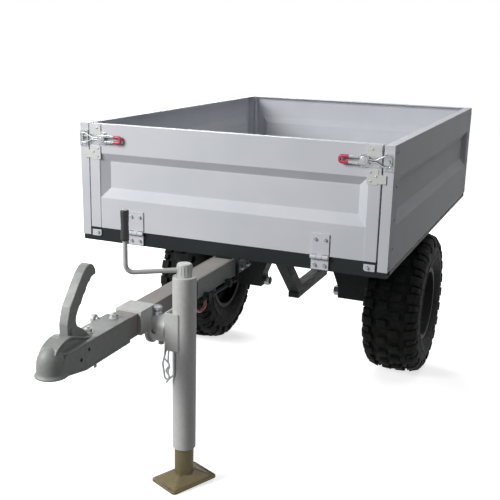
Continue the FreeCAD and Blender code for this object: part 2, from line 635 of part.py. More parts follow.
def jack_saddle():
    """Return the channel and stub that carry the jack's tube in the swivel pipe."""
    stub = rod(SWIVEL_STUB_RADIUS, V(BEAM_HALF + SWIVEL_FLANGE + 1, JACK_Y, JACK_PIVOT_Z), V(SADDLE_X + SADDLE_WALL, JACK_Y, JACK_PIVOT_Z))
    core = rod(SWIVEL_STUB_RADIUS - 6, V(0, JACK_Y, JACK_PIVOT_Z), V(SADDLE_X, JACK_Y, JACK_PIVOT_Z))
    saddle = block(SADDLE_X, SADDLE_END_X, JACK_Y - SADDLE_HALF, JACK_Y + SADDLE_HALF, SADDLE_BOTTOM, SADDLE_TOP)
    inner = SADDLE_HALF - SADDLE_WALL
    hollow = block(SADDLE_X + SADDLE_WALL, JACK_X, JACK_Y - inner, JACK_Y + inner, SADDLE_BOTTOM - 1, SADDLE_TOP + 1)
    tube = Part.makeCylinder(JACK_TUBE_RADIUS, JACK_TUBE_TOP, V(JACK_X, JACK_Y, 0))
    return saddle.cut(hollow).fuse(stub.cut(core)).cut(tube).removeSplitter()


def jack_clip():
    """Return the wire clip that hangs from the saddle's front flange."""
    y = JACK_Y - SADDLE_HALF + SADDLE_WALL / 2
    x0 = SADDLE_X - 6
    x1 = SADDLE_END_X - 13
    low = SADDLE_BOTTOM - CLIP_DROP
    points = [V(SADDLE_X + 4, y, SADDLE_BOTTOM), V(x0, y, SADDLE_BOTTOM - 40), V((3 * x0 + x1) / 4, y, low)]
    points += [V(x1, y, low + 26), V(x1, y, SADDLE_BOTTOM)]
    return bent_rod(points, 8, CLIP_RADIUS)


def jack_tube():
    """Return the jack's outer tube, closed at its top."""
    height = JACK_TUBE_TOP - JACK_TUBE_BOTTOM
    tube = Part.makeCylinder(JACK_TUBE_RADIUS, height, V(JACK_X, JACK_Y, JACK_TUBE_BOTTOM))
    bore = Part.makeCylinder(LEG_RADIUS + REST_GAP, height - 8, V(JACK_X, JACK_Y, JACK_TUBE_BOTTOM))
    return tube.cut(bore)


def jack_crank():
    """Return the crank: its cap on the tube, bent rod and grip."""
    cap = Part.makeCylinder(CAP_RADIUS, CAP_HEIGHT, V(JACK_X, JACK_Y, JACK_TUBE_TOP))
    arm_z = JACK_TUBE_TOP + CAP_HEIGHT / 2
    elbow = V(JACK_X - CRANK_REACH_X, JACK_Y - CRANK_REACH_Y, arm_z)
    start = V(JACK_X, JACK_Y, arm_z)
    top = V(elbow.x, elbow.y, CRANK_GRIP_TOP)
    arm = bent_rod([start, elbow, top], CRANK_BEND, CRANK_RADIUS)
    grip_height = CRANK_GRIP_TOP - CRANK_GRIP_BOTTOM
    grip = Part.makeCylinder(CRANK_GRIP_RADIUS, grip_height, V(elbow.x, elbow.y, CRANK_GRIP_BOTTOM))
    return cap.fuse(arm).removeSplitter(), grip.cut(arm)


def jack_foot():
    """Return the foot plate, square to the leg, with its pressed pyramid."""
    half_l = FOOT_LENGTH / 2
    half_w = FOOT_WIDTH / 2
    plate = block(-half_l, half_l, -half_w, half_w, 0, FOOT_THICKNESS)
    corners = [edge for edge in plate.Edges if abs(edge.tangentAt(edge.FirstParameter).z) > 0.5]
    plate = plate.makeFillet(FOOT_CORNER, corners)
    wires = []
    for half_x, half_y, z in ((half_l * 0.72, half_w * 0.72, FOOT_THICKNESS - 1), (30, 30, FOOT_THICKNESS + FOOT_PYRAMID)):
        points = [V(-half_x, -half_y, z), V(half_x, -half_y, z), V(half_x, half_y, z), V(-half_x, half_y, z)]
        wires.append(Part.makePolygon(points + points[:1]))
    foot = plate.fuse(Part.makeLoft(wires, True, True)).removeSplitter()
    foot.rotate(ORIGIN, Z_AXIS, FOOT_TURN_DEG)
    foot.translate(V(JACK_X, JACK_Y, FOOT_Z))
    return foot


def jack_leg():
    """Return the jack's inner leg, standing on its foot."""
    base = FOOT_Z + FOOT_THICKNESS
    leg = Part.makeCylinder(LEG_RADIUS, LEG_TOP - base, V(JACK_X, JACK_Y, base))
    inner = LEG_RADIUS - LEG_WALL
    leg = leg.cut(Part.makeCylinder(inner, LEG_TOP - base, V(JACK_X, JACK_Y, base)))
    return leg.cut(jack_foot())


def pivot_barrel():
    """Return the tipping barrel across the beam's rear end."""
    start = V(-PIVOT_BARREL_HALF, PIVOT_Y, BEAM_MID)
    end = V(PIVOT_BARREL_HALF, PIVOT_Y, BEAM_MID)
    return rod(PIVOT_BARREL_RADIUS, start, end).cut(rod(PIVOT_PIN_RADIUS + RUNNING_GAP, start, end))


def pivot_ear():
    """Return the right ear that hangs from the box's rear cross member."""
    x0 = PIVOT_EAR_INNER
    x1 = PIVOT_EAR_INNER + PIVOT_EAR_THICKNESS
    round_part = rod(BEAM_HALF - 2, V(x0, PIVOT_Y, BEAM_MID), V(x1, PIVOT_Y, BEAM_MID))
    upper = block(x0, x1, PIVOT_Y - BEAM_HALF + 2, PIVOT_Y + BEAM_HALF - 2, BEAM_MID, RAIL_BOTTOM)
    ear = round_part.fuse(upper).removeSplitter()
    return ear.cut(rod(PIVOT_PIN_RADIUS, V(0, PIVOT_Y, BEAM_MID), V(100, PIVOT_Y, BEAM_MID)))


def rails():
    """Return the base frame's end rails, side rails and cross members."""
    outer = BOX_HALF - SHEET
    inner = outer - RAIL_WIDTH
    wall = RAIL_WALL
    front = block(-outer, outer, SHEET, SHEET + RAIL_WIDTH, RAIL_BOTTOM, RAIL_TOP)
    hollow = block(-outer - 1, outer + 1, SHEET + wall, SHEET + RAIL_WIDTH + 1, RAIL_BOTTOM + wall, RAIL_TOP - wall)
    front = front.cut(hollow)
    y0 = SHEET + RAIL_WIDTH
    y1 = BOX_LENGTH - y0
    right = block(inner, outer, y0, y1, RAIL_BOTTOM, RAIL_TOP)
    right = right.cut(block(inner - 1, outer - wall, y0 - 1, y1 + 1, RAIL_BOTTOM + wall, RAIL_TOP - wall))
    members = []
    for middle in (BOX_LENGTH * 0.27, BOX_LENGTH * 0.52, PIVOT_Y):
        member = block(-inner, inner, middle - 25, middle + 25, RAIL_BOTTOM, RAIL_TOP)
        bore = block(-inner - 1, inner + 1, middle - 25 + wall, middle + 25 - wall, RAIL_BOTTOM + wall, RAIL_TOP - wall)
        members.append(member.cut(bore))
    return Part.makeCompound([front, mirror_ends(front)]), both_sides(right), Part.makeCompound(members)


def floor_sheet():
    """Return the floor on top of the base frame."""
    half = BOX_HALF - PANEL_DEPTH
    end = PANEL_DEPTH + SWING_GAP + 1
    notch = BOX_HALF - POST_SIZE
    sheet = block(-notch, notch, end, BOX_LENGTH - end, RAIL_TOP, RAIL_TOP + FLOOR_THICKNESS)
    edge = block(-half, half, POST_SIZE, BOX_LENGTH - POST_SIZE, RAIL_TOP, RAIL_TOP + FLOOR_THICKNESS)
    return sheet.fuse(edge.common(block(-half, half, end, BOX_LENGTH - end, 0, BOX_TOP))).removeSplitter()


def tip_latch():
    """Return the tipping latch's bolt in its guides, its red pull and its striker."""
    x = TIP_LATCH_X
    z = BEAM_BOTTOM - TIP_BOLT_RADIUS - 2
    latch_rod = rod(TIP_BOLT_RADIUS, V(x, TIP_GRIP_Y - 8, z), V(x, TIP_BOLT_REAR, z))
    for place in TIP_GUIDE_PLACES:
        start = place - TIP_GUIDE_LENGTH / 2
        side = TIP_BOLT_RADIUS + 3
        plate_x = BEAM_HALF + SPLICE_THICKNESS
        guide = block(plate_x, x + side, start, start + TIP_GUIDE_LENGTH, z - side, BEAM_BOTTOM + side)
        latch_rod = latch_rod.fuse(guide)
    low = z - TIP_GRIP_DROP
    hook_y = TIP_GRIP_Y - TIP_GRIP_REACH
    points = [V(x, TIP_GRIP_Y, z), V(x, TIP_GRIP_Y + 4, low), V(x, hook_y + 30, low - 4), V(x, hook_y, low + 10)]
    points.append(V(x, hook_y, low + TIP_GRIP_HOOK))
    grip = bent_rod(points, 9, TIP_GRIP_RADIUS)
    side = STRIKER_DEPTH / 2
    striker = block(x - side + 1, x + side + 1, 0, SHEET, z - 12, RAIL_BOTTOM + 6)
    striker = striker.fuse(block(x - side + 1, x + side + 1, 0, 12, RAIL_BOTTOM - 1, RAIL_BOTTOM))
    return latch_rod.removeSplitter(), grip.cut(latch_rod), striker.removeSplitter()


def wheel(side):
    """Return the tyre, rim and hub of the wheel on one side, +1 right or -1 left."""
    pieces = []
    for shape in (tyre(), rim(), hub()):
        shape.rotate(ORIGIN, X_AXIS, -STANCE_DEG)
        shape.translate(V(HALF_TRACK, AXLE_Y, AXLE_Z))
        pieces.append(shape if side > 0 else mirror_x(shape))
    return pieces


def build():
    """Return every node's shape in the trailer's own frame, by name."""
    nodes = {}
    splice = block(BEAM_HALF, BEAM_HALF + SPLICE_THICKNESS, SPLICE_FRONT, SPLICE_REAR, BEAM_BOTTOM, BEAM_TOP)
    barrel_cope = rod(PIVOT_BARREL_RADIUS, V(-BEAM_HALF, PIVOT_Y, BEAM_MID), V(BEAM_HALF, PIVOT_Y, BEAM_MID))
    nodes["drawbar"] = square_tube_y(BEAM_HALF, BEAM_WALL, DRAWBAR_FRONT, DRAWBAR_REAR, BEAM_MID)
    nodes["main_beam"] = square_tube_y(BEAM_HALF, BEAM_WALL, DRAWBAR_REAR, PIVOT_Y, BEAM_MID).cut(barrel_cope)
    nodes["drawbar_side_plates"] = both_sides(splice)
    nodes["coupler_body"] = coupler_body()
    nodes["coupler_handle"] = coupler_handle()
    nodes["front_strut"], nodes["lower_beam"], nodes["rear_strut"] = lower_truss()
    nodes["axle_cross_beam"] = axle_cross_beam()
    nodes["axle_carriers"] = both_sides(carrier())
    nodes["stub_axles"] = both_sides(stub_axle())
    nodes["axle_nuts"] = both_sides(axle_nut())
    nodes["jack_mount"] = jack_mount()
    nodes["jack_lock_pin"] = jack_lock_pin()
    nodes["tip_pivot_barrel"] = pivot_barrel()
    nodes["tip_latch"], nodes["tip_latch_pull"], nodes["tip_striker"] = tip_latch()

    nodes["base_end_rails"], nodes["base_side_rails"], nodes["base_cross_members"] = rails()
    nodes["floor"] = floor_sheet()
    nodes["side_panel_right"] = side_panel()
    nodes["side_panel_left"] = mirror_x(side_panel())
    post = corner_post()
    front_posts = [post, mirror_x(post)]
    nodes["corner_posts"] = Part.makeCompound(front_posts + [mirror_ends(shape) for shape in front_posts])
    nodes["tip_pivot_ears"] = both_sides(pivot_ear())
    pin_end = PIVOT_EAR_INNER + PIVOT_EAR_THICKNESS + PIVOT_PIN_END
    nodes["tip_pivot_pin"] = rod(PIVOT_PIN_RADIUS, V(-pin_end, PIVOT_Y, BEAM_MID), V(pin_end, PIVOT_Y, BEAM_MID))

    gate = pressed_panel(GATE_HALF, RAIL_TOP + GATE_REST_GAP)
    upper, lower = hinge_leaves()
    lever, grip, catch = latch()
    catches = []
    lowers = []
    for end, place in (("front", lambda shape: shape), ("rear", mirror_ends)):
        nodes[end + "_gate"] = place(gate)
        nodes[end + "_gate_hinges"] = place(both_sides(upper))
        nodes[end + "_latch_levers"] = place(both_sides(lever))
        nodes[end + "_latch_grips"] = place(both_sides(grip))
        lowers += place(both_sides(lower)).Solids
        catches += place(both_sides(catch)).Solids
    nodes["hinge_seats"] = Part.makeCompound(lowers)
    nodes["latch_catches"] = Part.makeCompound(catches)

    for name, side in (("right", 1), ("left", -1)):
        nodes["tyre_" + name], nodes["rim_" + name], nodes["hub_" + name] = wheel(side)

    nodes["jack_tube"] = jack_tube()
    nodes["jack_saddle"] = jack_saddle()
    nodes["jack_clip"] = jack_clip().cut(nodes["jack_saddle"])
    nodes["jack_crank"], nodes["jack_crank_grip"] = jack_crank()
    nodes["jack_leg"] = jack_leg()
    nodes["jack_foot"] = jack_foot()
    return nodes


def to_row(shape):
    """Return a piece in the parked stance, with the ball's centre at the origin."""
    placed = shape.copy()
    placed.translate(V(0, -BALL_Y, -BALL_Z))
    placed.rotate(ORIGIN, X_AXIS, STANCE_DEG)
    return placed


os.makedirs("parts", exist_ok=True)
for node_name, node_shape in build().items():
    to_row(node_shape).exportStep("parts/" + node_name + ".step")
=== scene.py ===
"""Dresses the tipping log trailer: finishes, pressed edges, fasteners, welds, tread and studio.

Every piece is shaped in millimetres in the trailer's own square frame, +X to the side of
the jack, +Y to the rear and +Z up, and is then turned into the parked stance.
"""

import logging
import math
from dataclasses import dataclass
from enum import Enum
from typing import Sequence

import bmesh
import bpy
from mathutils import Matrix, Vector


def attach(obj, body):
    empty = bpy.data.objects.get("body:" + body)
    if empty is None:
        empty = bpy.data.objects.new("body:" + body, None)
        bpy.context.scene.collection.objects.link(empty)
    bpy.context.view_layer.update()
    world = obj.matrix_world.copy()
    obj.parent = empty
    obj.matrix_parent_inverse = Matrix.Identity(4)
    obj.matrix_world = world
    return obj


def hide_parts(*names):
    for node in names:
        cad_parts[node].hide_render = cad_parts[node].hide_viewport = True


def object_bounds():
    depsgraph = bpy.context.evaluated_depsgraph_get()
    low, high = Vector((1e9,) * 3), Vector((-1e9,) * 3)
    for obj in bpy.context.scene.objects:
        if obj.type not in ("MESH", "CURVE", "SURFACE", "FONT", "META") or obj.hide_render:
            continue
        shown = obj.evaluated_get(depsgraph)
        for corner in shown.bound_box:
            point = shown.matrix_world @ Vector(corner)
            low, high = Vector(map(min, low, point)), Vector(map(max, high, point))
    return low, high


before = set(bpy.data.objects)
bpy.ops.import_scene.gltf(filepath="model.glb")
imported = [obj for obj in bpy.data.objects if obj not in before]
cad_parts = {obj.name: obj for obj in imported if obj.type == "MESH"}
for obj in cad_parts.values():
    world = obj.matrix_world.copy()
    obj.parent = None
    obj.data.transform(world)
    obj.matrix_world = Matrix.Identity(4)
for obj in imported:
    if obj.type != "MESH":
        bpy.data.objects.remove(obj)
CAD_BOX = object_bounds()

LOG = logging.getLogger("log_trailer")
Point = tuple[float, float, float]
Outline = Sequence[tuple[float, float]]
Socket = bpy.types.NodeSocket

STANCE = math.radians(4.31426605)
BALL = Vector((0.0, -934.0, 580.0))
MM = 0.001
LEAN = Matrix.Rotation(STANCE, 4, "X")
TO_ROW = LEAN @ Matrix.Scale(MM, 4) @ Matrix.Translation(-BALL)
BOX_MIDDLE_Y = 744.0
BOX_HALF = 542.0
MEMBER_PLACES = (401.8, 773.8, 1150.0)
ROUNDED_MESH = {"offset_type": "OFFSET", "profile": 0.5, "affect": "EDGES", "clamp_overlap": True, "material": -1}
WELD_DISTANCE = 0.0005
MIRROR_X = Matrix.Diagonal((-1.0, 1.0, 1.0, 1.0))
MIRROR_ENDS = Matrix.Translation((0, 2 * BOX_MIDDLE_Y, 0)) @ Matrix.Diagonal((1.0, -1.0, 1.0, 1.0))


class Axis(Enum):
    """The trailer axis that a turned or drawn-out shape follows."""

    X = Vector((1.0, 0.0, 0.0))
    Y = Vector((0.0, 1.0, 0.0))
    Z = Vector((0.0, 0.0, 1.0))


def srgb(red: int, green: int, blue: int) -> tuple[float, float, float, float]:
    """Turns screen levels into a linear colour.

    Args:
        red: Red level from 0 to 255.
        green: Green level from 0 to 255.
        blue: Blue level from 0 to 255.

    Returns:
        The colour as Blender's sockets take it.
    """
    levels = [level / 255 for level in (red, green, blue)]
    linear = [c / 12.92 if c <= 0.04045 else ((c + 0.055) / 1.055) ** 2.4 for c in levels]
    return (linear[0], linear[1], linear[2], 1.0)


class NodeGraph:
    """A node tree in the making."""

    def __init__(self, tree: bpy.types.NodeTree) -> None:
        """Starts from an empty tree.

        Args:
            tree: The node tree, which is cleared.
        """
        self.tree = tree
        self.tree.nodes.clear()

    def node(self, kind: str, inputs: dict[str | int, object], **settings: str) -> bpy.types.Node:
        """Adds a shader node.

        Args:
            kind: The node's type, after the word ShaderNode.
            inputs: A value or an output socket for each input that is set.
            settings: The node's own settings.

        Returns:
            The node.
        """
        node = self.tree.nodes.new(f"ShaderNode{kind}")
        for name, value in settings.items():
            setattr(node, name, value)
        for name, value in inputs.items():
            if isinstance(value, Socket):
                self.tree.links.new(value, node.inputs[name])
            else:
                node.inputs[name].default_value = value
        return node


class FinishGraph(NodeGraph):
    """The node tree of one finish, on Object coordinates."""

    def __init__(self, name: str) -> None:
        """Starts a material.

        Args:
            name: The material's name.
        """
        self.material = bpy.data.materials.new(name)
        self.material.use_nodes = True
        super().__init__(self.material.node_tree)
        self.place = self.node("TexCoord", {}).outputs["Object"]

    def noise(self, scale: float, detail: float, stretch: Point = (1, 1, 1)) -> Socket:
        """Returns a noise pattern, square to the trailer.

        Args:
            scale: Features to the metre.
            detail: Octaves of finer noise.
            stretch: How many times finer the pattern gets along each axis.

        Returns:
            The noise's value socket.
        """
        square = self.node("Mapping", {"Vector": self.place, "Rotation": (-STANCE, 0, 0), "Scale": stretch})
        pattern = {"Vector": square.outputs["Vector"], "Scale": scale, "Detail": detail}
        return self.node("TexNoise", pattern).outputs["Fac"]

    def cells(self, scale: float) -> Socket:
        """Returns a pattern of cells with one grey level each.

        Args:
            scale: Cells to the metre.

        Returns:
            The cells' colour socket.
        """
        return self.node("TexVoronoi", {"Vector": self.place, "Scale": scale}).outputs["Color"]

    def height(self) -> Socket:
        """Returns the height above the ball coupling's centre, in metres."""
        return self.node("SeparateXYZ", {"Vector": self.place}).outputs["Z"]

    def remap(self, value: Socket, source: tuple[float, float], target: tuple[float, float] = (0.0, 1.0)) -> Socket:
        """Returns a value carried from one range to another, with its ends clamped.

        Args:
            value: The value socket.
            source: The range that is read.
            target: The range that is given.

        Returns:
            The value socket.
        """
        ranges = {"From Min": source[0], "From Max": source[1], "To Min": target[0], "To Max": target[1]}
        return self.node("MapRange", {"Value": value, **ranges}).outputs["Result"]

    def times(self, first: Socket, second: Socket) -> Socket:
        """Returns one value times another."""
        return self.node("Math", {0: first, 1: second}, operation="MULTIPLY").outputs[0]

    def blend(self, amount: Socket, first: Socket | Sequence[float], second: Socket | Sequence[float]) -> Socket:
        """Returns a colour between two colours.

        Args:
            amount: The share of the second colour.
            first: A colour or colour socket.
            second: A colour or colour socket.

        Returns:
            The colour socket.
        """
        return self.node("Mix", {"Factor": amount, 6: first, 7: second}, data_type="RGBA").outputs[2]

    def bump(self, height: Socket, depth: float, below: Socket | None = None) -> Socket:
        """Returns a bumped normal.

        Args:
            height: The height socket, from 0 to 1.
            depth: The depth of the relief in metres.
            below: A normal socket that this relief is added to.

        Returns:
            The normal socket.
        """
        under = {} if below is None else {"Normal": below}
        return self.node("Bump", {"Height": height, "Distance": depth, **under}).outputs["Normal"]

    def finish(self, colour: Socket, roughness: Socket, normal: Socket,
               constants: dict[str, float]) -> bpy.types.Material:
        """Adds the shader and returns the material.

        Args:
            colour: The base colour socket.
            roughness: The roughness socket.
            normal: The normal socket.
            constants: The shader's values that are the same all over.

        Returns:
            The material.
        """
        varied = {"Base Color": colour, "Roughness": roughness, "Normal": normal}
        shader = self.node("BsdfPrincipled", {**varied, **constants})
        self.node("OutputMaterial", {"Surface": shader.outputs["BSDF"]})
        return self.material


@dataclass(frozen=True)
class PaintedSteel:
    """Sprayed paint with orange peel, faint clouding and dust low down."""

    name: str
    colour: tuple[int, int, int]
    shade: tuple[int, int, int]
    dust: tuple[int, int, int]
    gloss: tuple[float, float]
    coat: float
    dust_share: float

    def material(self) -> bpy.types.Material:
        """Returns the finish as a material."""
        graph = FinishGraph(self.name)
        cloud = graph.remap(graph.noise(5.0, 3.0), (0.35, 0.7))
        paint = graph.blend(cloud, srgb(*self.colour), srgb(*self.shade))
        low = graph.remap(graph.height(), (0.05, -0.45), (0.0, self.dust_share))
        speckle = graph.remap(graph.noise(38.0, 8.0), (0.42, 0.66))
        dusty = graph.blend(graph.times(low, speckle), paint, srgb(*self.dust))
        scuffs = graph.noise(70.0, 6.0, (1.0, 0.25, 1.6))
        rough = graph.remap(scuffs, (0.3, 0.75), self.gloss)
        peel = graph.bump(graph.noise(420.0, 2.0), 0.00006)
        dents = graph.bump(graph.noise(7.0, 1.0), 0.0008, peel)
        constants = {"Coat Weight": self.coat, "Coat Roughness": 0.18, "Specular IOR Level": 0.2}
        return graph.finish(dusty, rough, dents, constants)


@dataclass(frozen=True)
class ZincPlate:
    """Plated steel with crystals of slightly different tone and fine drawing marks."""

    name: str
    colour: tuple[int, int, int]
    shade: tuple[int, int, int]
    metal: float
    gloss: tuple[float, float]
    crystals: float
    pitting: float

    def material(self) -> bpy.types.Material:
        """Returns the finish as a material."""
        graph = FinishGraph(self.name)
        spangle = graph.remap(graph.cells(self.crystals), (0.1, 0.9), (0.0, 0.35))
        cloud = graph.remap(graph.noise(16.0, 5.0), (0.35, 0.72))
        tone = graph.blend(spangle, srgb(*self.colour), srgb(*self.shade))
        colour = graph.blend(graph.times(cloud, spangle), tone, srgb(*self.shade))
        marks = graph.noise(95.0, 5.0, (1.0, 1.0, 0.12))
        rough = graph.remap(marks, (0.3, 0.75), self.gloss)
        grain = graph.bump(graph.noise(900.0, 3.0), self.pitting)
        waves = graph.bump(graph.noise(60.0, 2.0), 0.00012, grain)
        return graph.finish(colour, rough, waves, {"Metallic": self.metal, "Specular IOR Level": 0.35})


@dataclass(frozen=True)
class TyreRubber:
    """Matt black rubber, greyed by dust towards the ground and in blotches."""

    name: str
    colour: tuple[int, int, int]
    dust: tuple[int, int, int]

    def material(self) -> bpy.types.Material:
        """Returns the finish as a material."""
        graph = FinishGraph(self.name)
        blotch = graph.remap(graph.noise(24.0, 9.0), (0.44, 0.72))
        low = graph.remap(graph.height(), (-0.2, -0.59), (0.16, 0.6))
        colour = graph.blend(graph.times(blotch, low), srgb(*self.colour), srgb(*self.dust))
        rough = graph.remap(graph.noise(60.0, 4.0), (0.3, 0.7), (0.62, 0.86))
        grain = graph.bump(graph.noise(700.0, 3.0), 0.0001)
        skin = graph.bump(graph.noise(45.0, 3.0), 0.0005, grain)
        return graph.finish(colour, rough, skin, {"Specular IOR Level": 0.16})


@dataclass(frozen=True)
class Moulding:
    """Dipped vinyl or moulded plastic with a soft skin."""

    name: str
    colour: tuple[int, int, int]
    shade: tuple[int, int, int]
    gloss: tuple[float, float]
    coat: float
    scatter: float

    def material(self) -> bpy.types.Material:
        """Returns the finish as a material."""
        graph = FinishGraph(self.name)
        cloud = graph.remap(graph.noise(40.0, 3.0), (0.35, 0.7))
        colour = graph.blend(cloud, srgb(*self.colour), srgb(*self.shade))
        rough = graph.remap(graph.noise(150.0, 3.0), (0.3, 0.7), self.gloss)
        skin = graph.bump(graph.noise(320.0, 2.0), 0.00008)
        runs = graph.bump(graph.noise(55.0, 1.0, (1.0, 1.0, 0.4)), 0.0003, skin)
        constants = {"Coat Weight": self.coat, "Subsurface Weight": self.scatter, "Subsurface Scale": 0.004}
        return graph.finish(colour, rough, runs, constants)


class Slot(Enum):
    """The record's material slots with the finish of each."""

    BOX_PAINT = PaintedSteel("box_paint", (206, 208, 213), (199, 202, 208), (176, 172, 164), (0.5, 0.64), 0.0, 0.2)
    CHASSIS_BLACK = PaintedSteel("chassis_black", (25, 32, 33), (32, 38, 39), (84, 79, 70), (0.48, 0.66), 0.0, 0.3)
    DRAWBAR_PAINT = PaintedSteel("drawbar_paint", (160, 156, 152), (148, 144, 140), (120, 112, 102), (0.44, 0.6),
                                 0.0, 0.2)
    DULL_ZINC = ZincPlate("dull_zinc", (205, 206, 204), (188, 190, 188), 0.12, (0.42, 0.54), 150.0, 0.00002)
    CAST_GREY = ZincPlate("cast_grey", (143, 145, 143), (125, 128, 126), 0.12, (0.46, 0.6), 120.0, 0.00006)
    BRIGHT_ZINC = ZincPlate("bright_zinc", (176, 179, 181), (150, 154, 156), 0.8, (0.24, 0.4), 260.0, 0.00002)
    YELLOW_ZINC = ZincPlate("yellow_zinc", (120, 109, 80), (102, 99, 72), 0.4, (0.34, 0.5), 90.0, 0.00005)
    RED_VINYL = Moulding("red_vinyl", (196, 40, 74), (170, 26, 60), (0.3, 0.42), 0.3, 0.08)
    TYRE = TyreRubber("tyre", (18, 21, 20), (70, 68, 61))
    RIM_BLACK = PaintedSteel("rim_black", (26, 28, 29), (32, 34, 35), (72, 68, 60), (0.46, 0.64), 0.0, 0.3)
    BLACK_PLASTIC = Moulding("black_plastic", (28, 29, 30), (36, 37, 38), (0.45, 0.6), 0.0, 0.0)


MATERIALS: dict[str, bpy.types.Material] = {}


def linked(name: str, data: bpy.types.ID) -> bpy.types.Object:
    """Makes an object and links it to the scene.

    Args:
        name: The object's name.
        data: Its mesh, lamp or camera.

    Returns:
        The object.
    """
    made = bpy.data.objects.new(name, data)
    bpy.context.scene.collection.objects.link(made)
    return made


def drawn_out(outline: Outline, axis: Axis) -> list[Vector]:
    """Places a flat outline across an axis.

    Args:
        outline: Pairs of the two other coordinates, in their usual order.
        axis: The axis across which the outline stands.

    Returns:
        The outline's points at 0 on the axis.
    """
    if axis is Axis.X:
        return [Vector((0, a, b)) for a, b in outline]
    if axis is Axis.Y:
        return [Vector((a, 0, b)) for a, b in outline]
    return [Vector((a, b, 0)) for a, b in outline]


def rounded_path(corners: Sequence[Point], bend: float, steps: int = 6) -> list[Vector]:
    """Rounds the corners of a rod's centre line.

    Args:
        corners: The centre line's ends and corners.
        bend: The inside radius that the rod is bent to, at its centre line.
        steps: The pieces that each arc is divided into.

    Returns:
        The stations of the centre line.
    """
    points = [Vector(corner) for corner in corners]
    path = [points[0]]
    for before, corner, after in zip(points, points[1:], points[2:]):
        back = (before - corner).normalized()
        ahead = (after - corner).normalized()
        half_angle = back.angle(ahead) / 2
        middle = corner + (back + ahead).normalized() * (bend / math.sin(half_angle))
        start = corner + back * (bend / math.tan(half_angle)) - middle
        end = corner + ahead * (bend / math.tan(half_angle)) - middle
        path += [middle + start.slerp(end, step / steps).normalized() * start.length for step in range(steps + 1)]
    return path + [points[-1]]


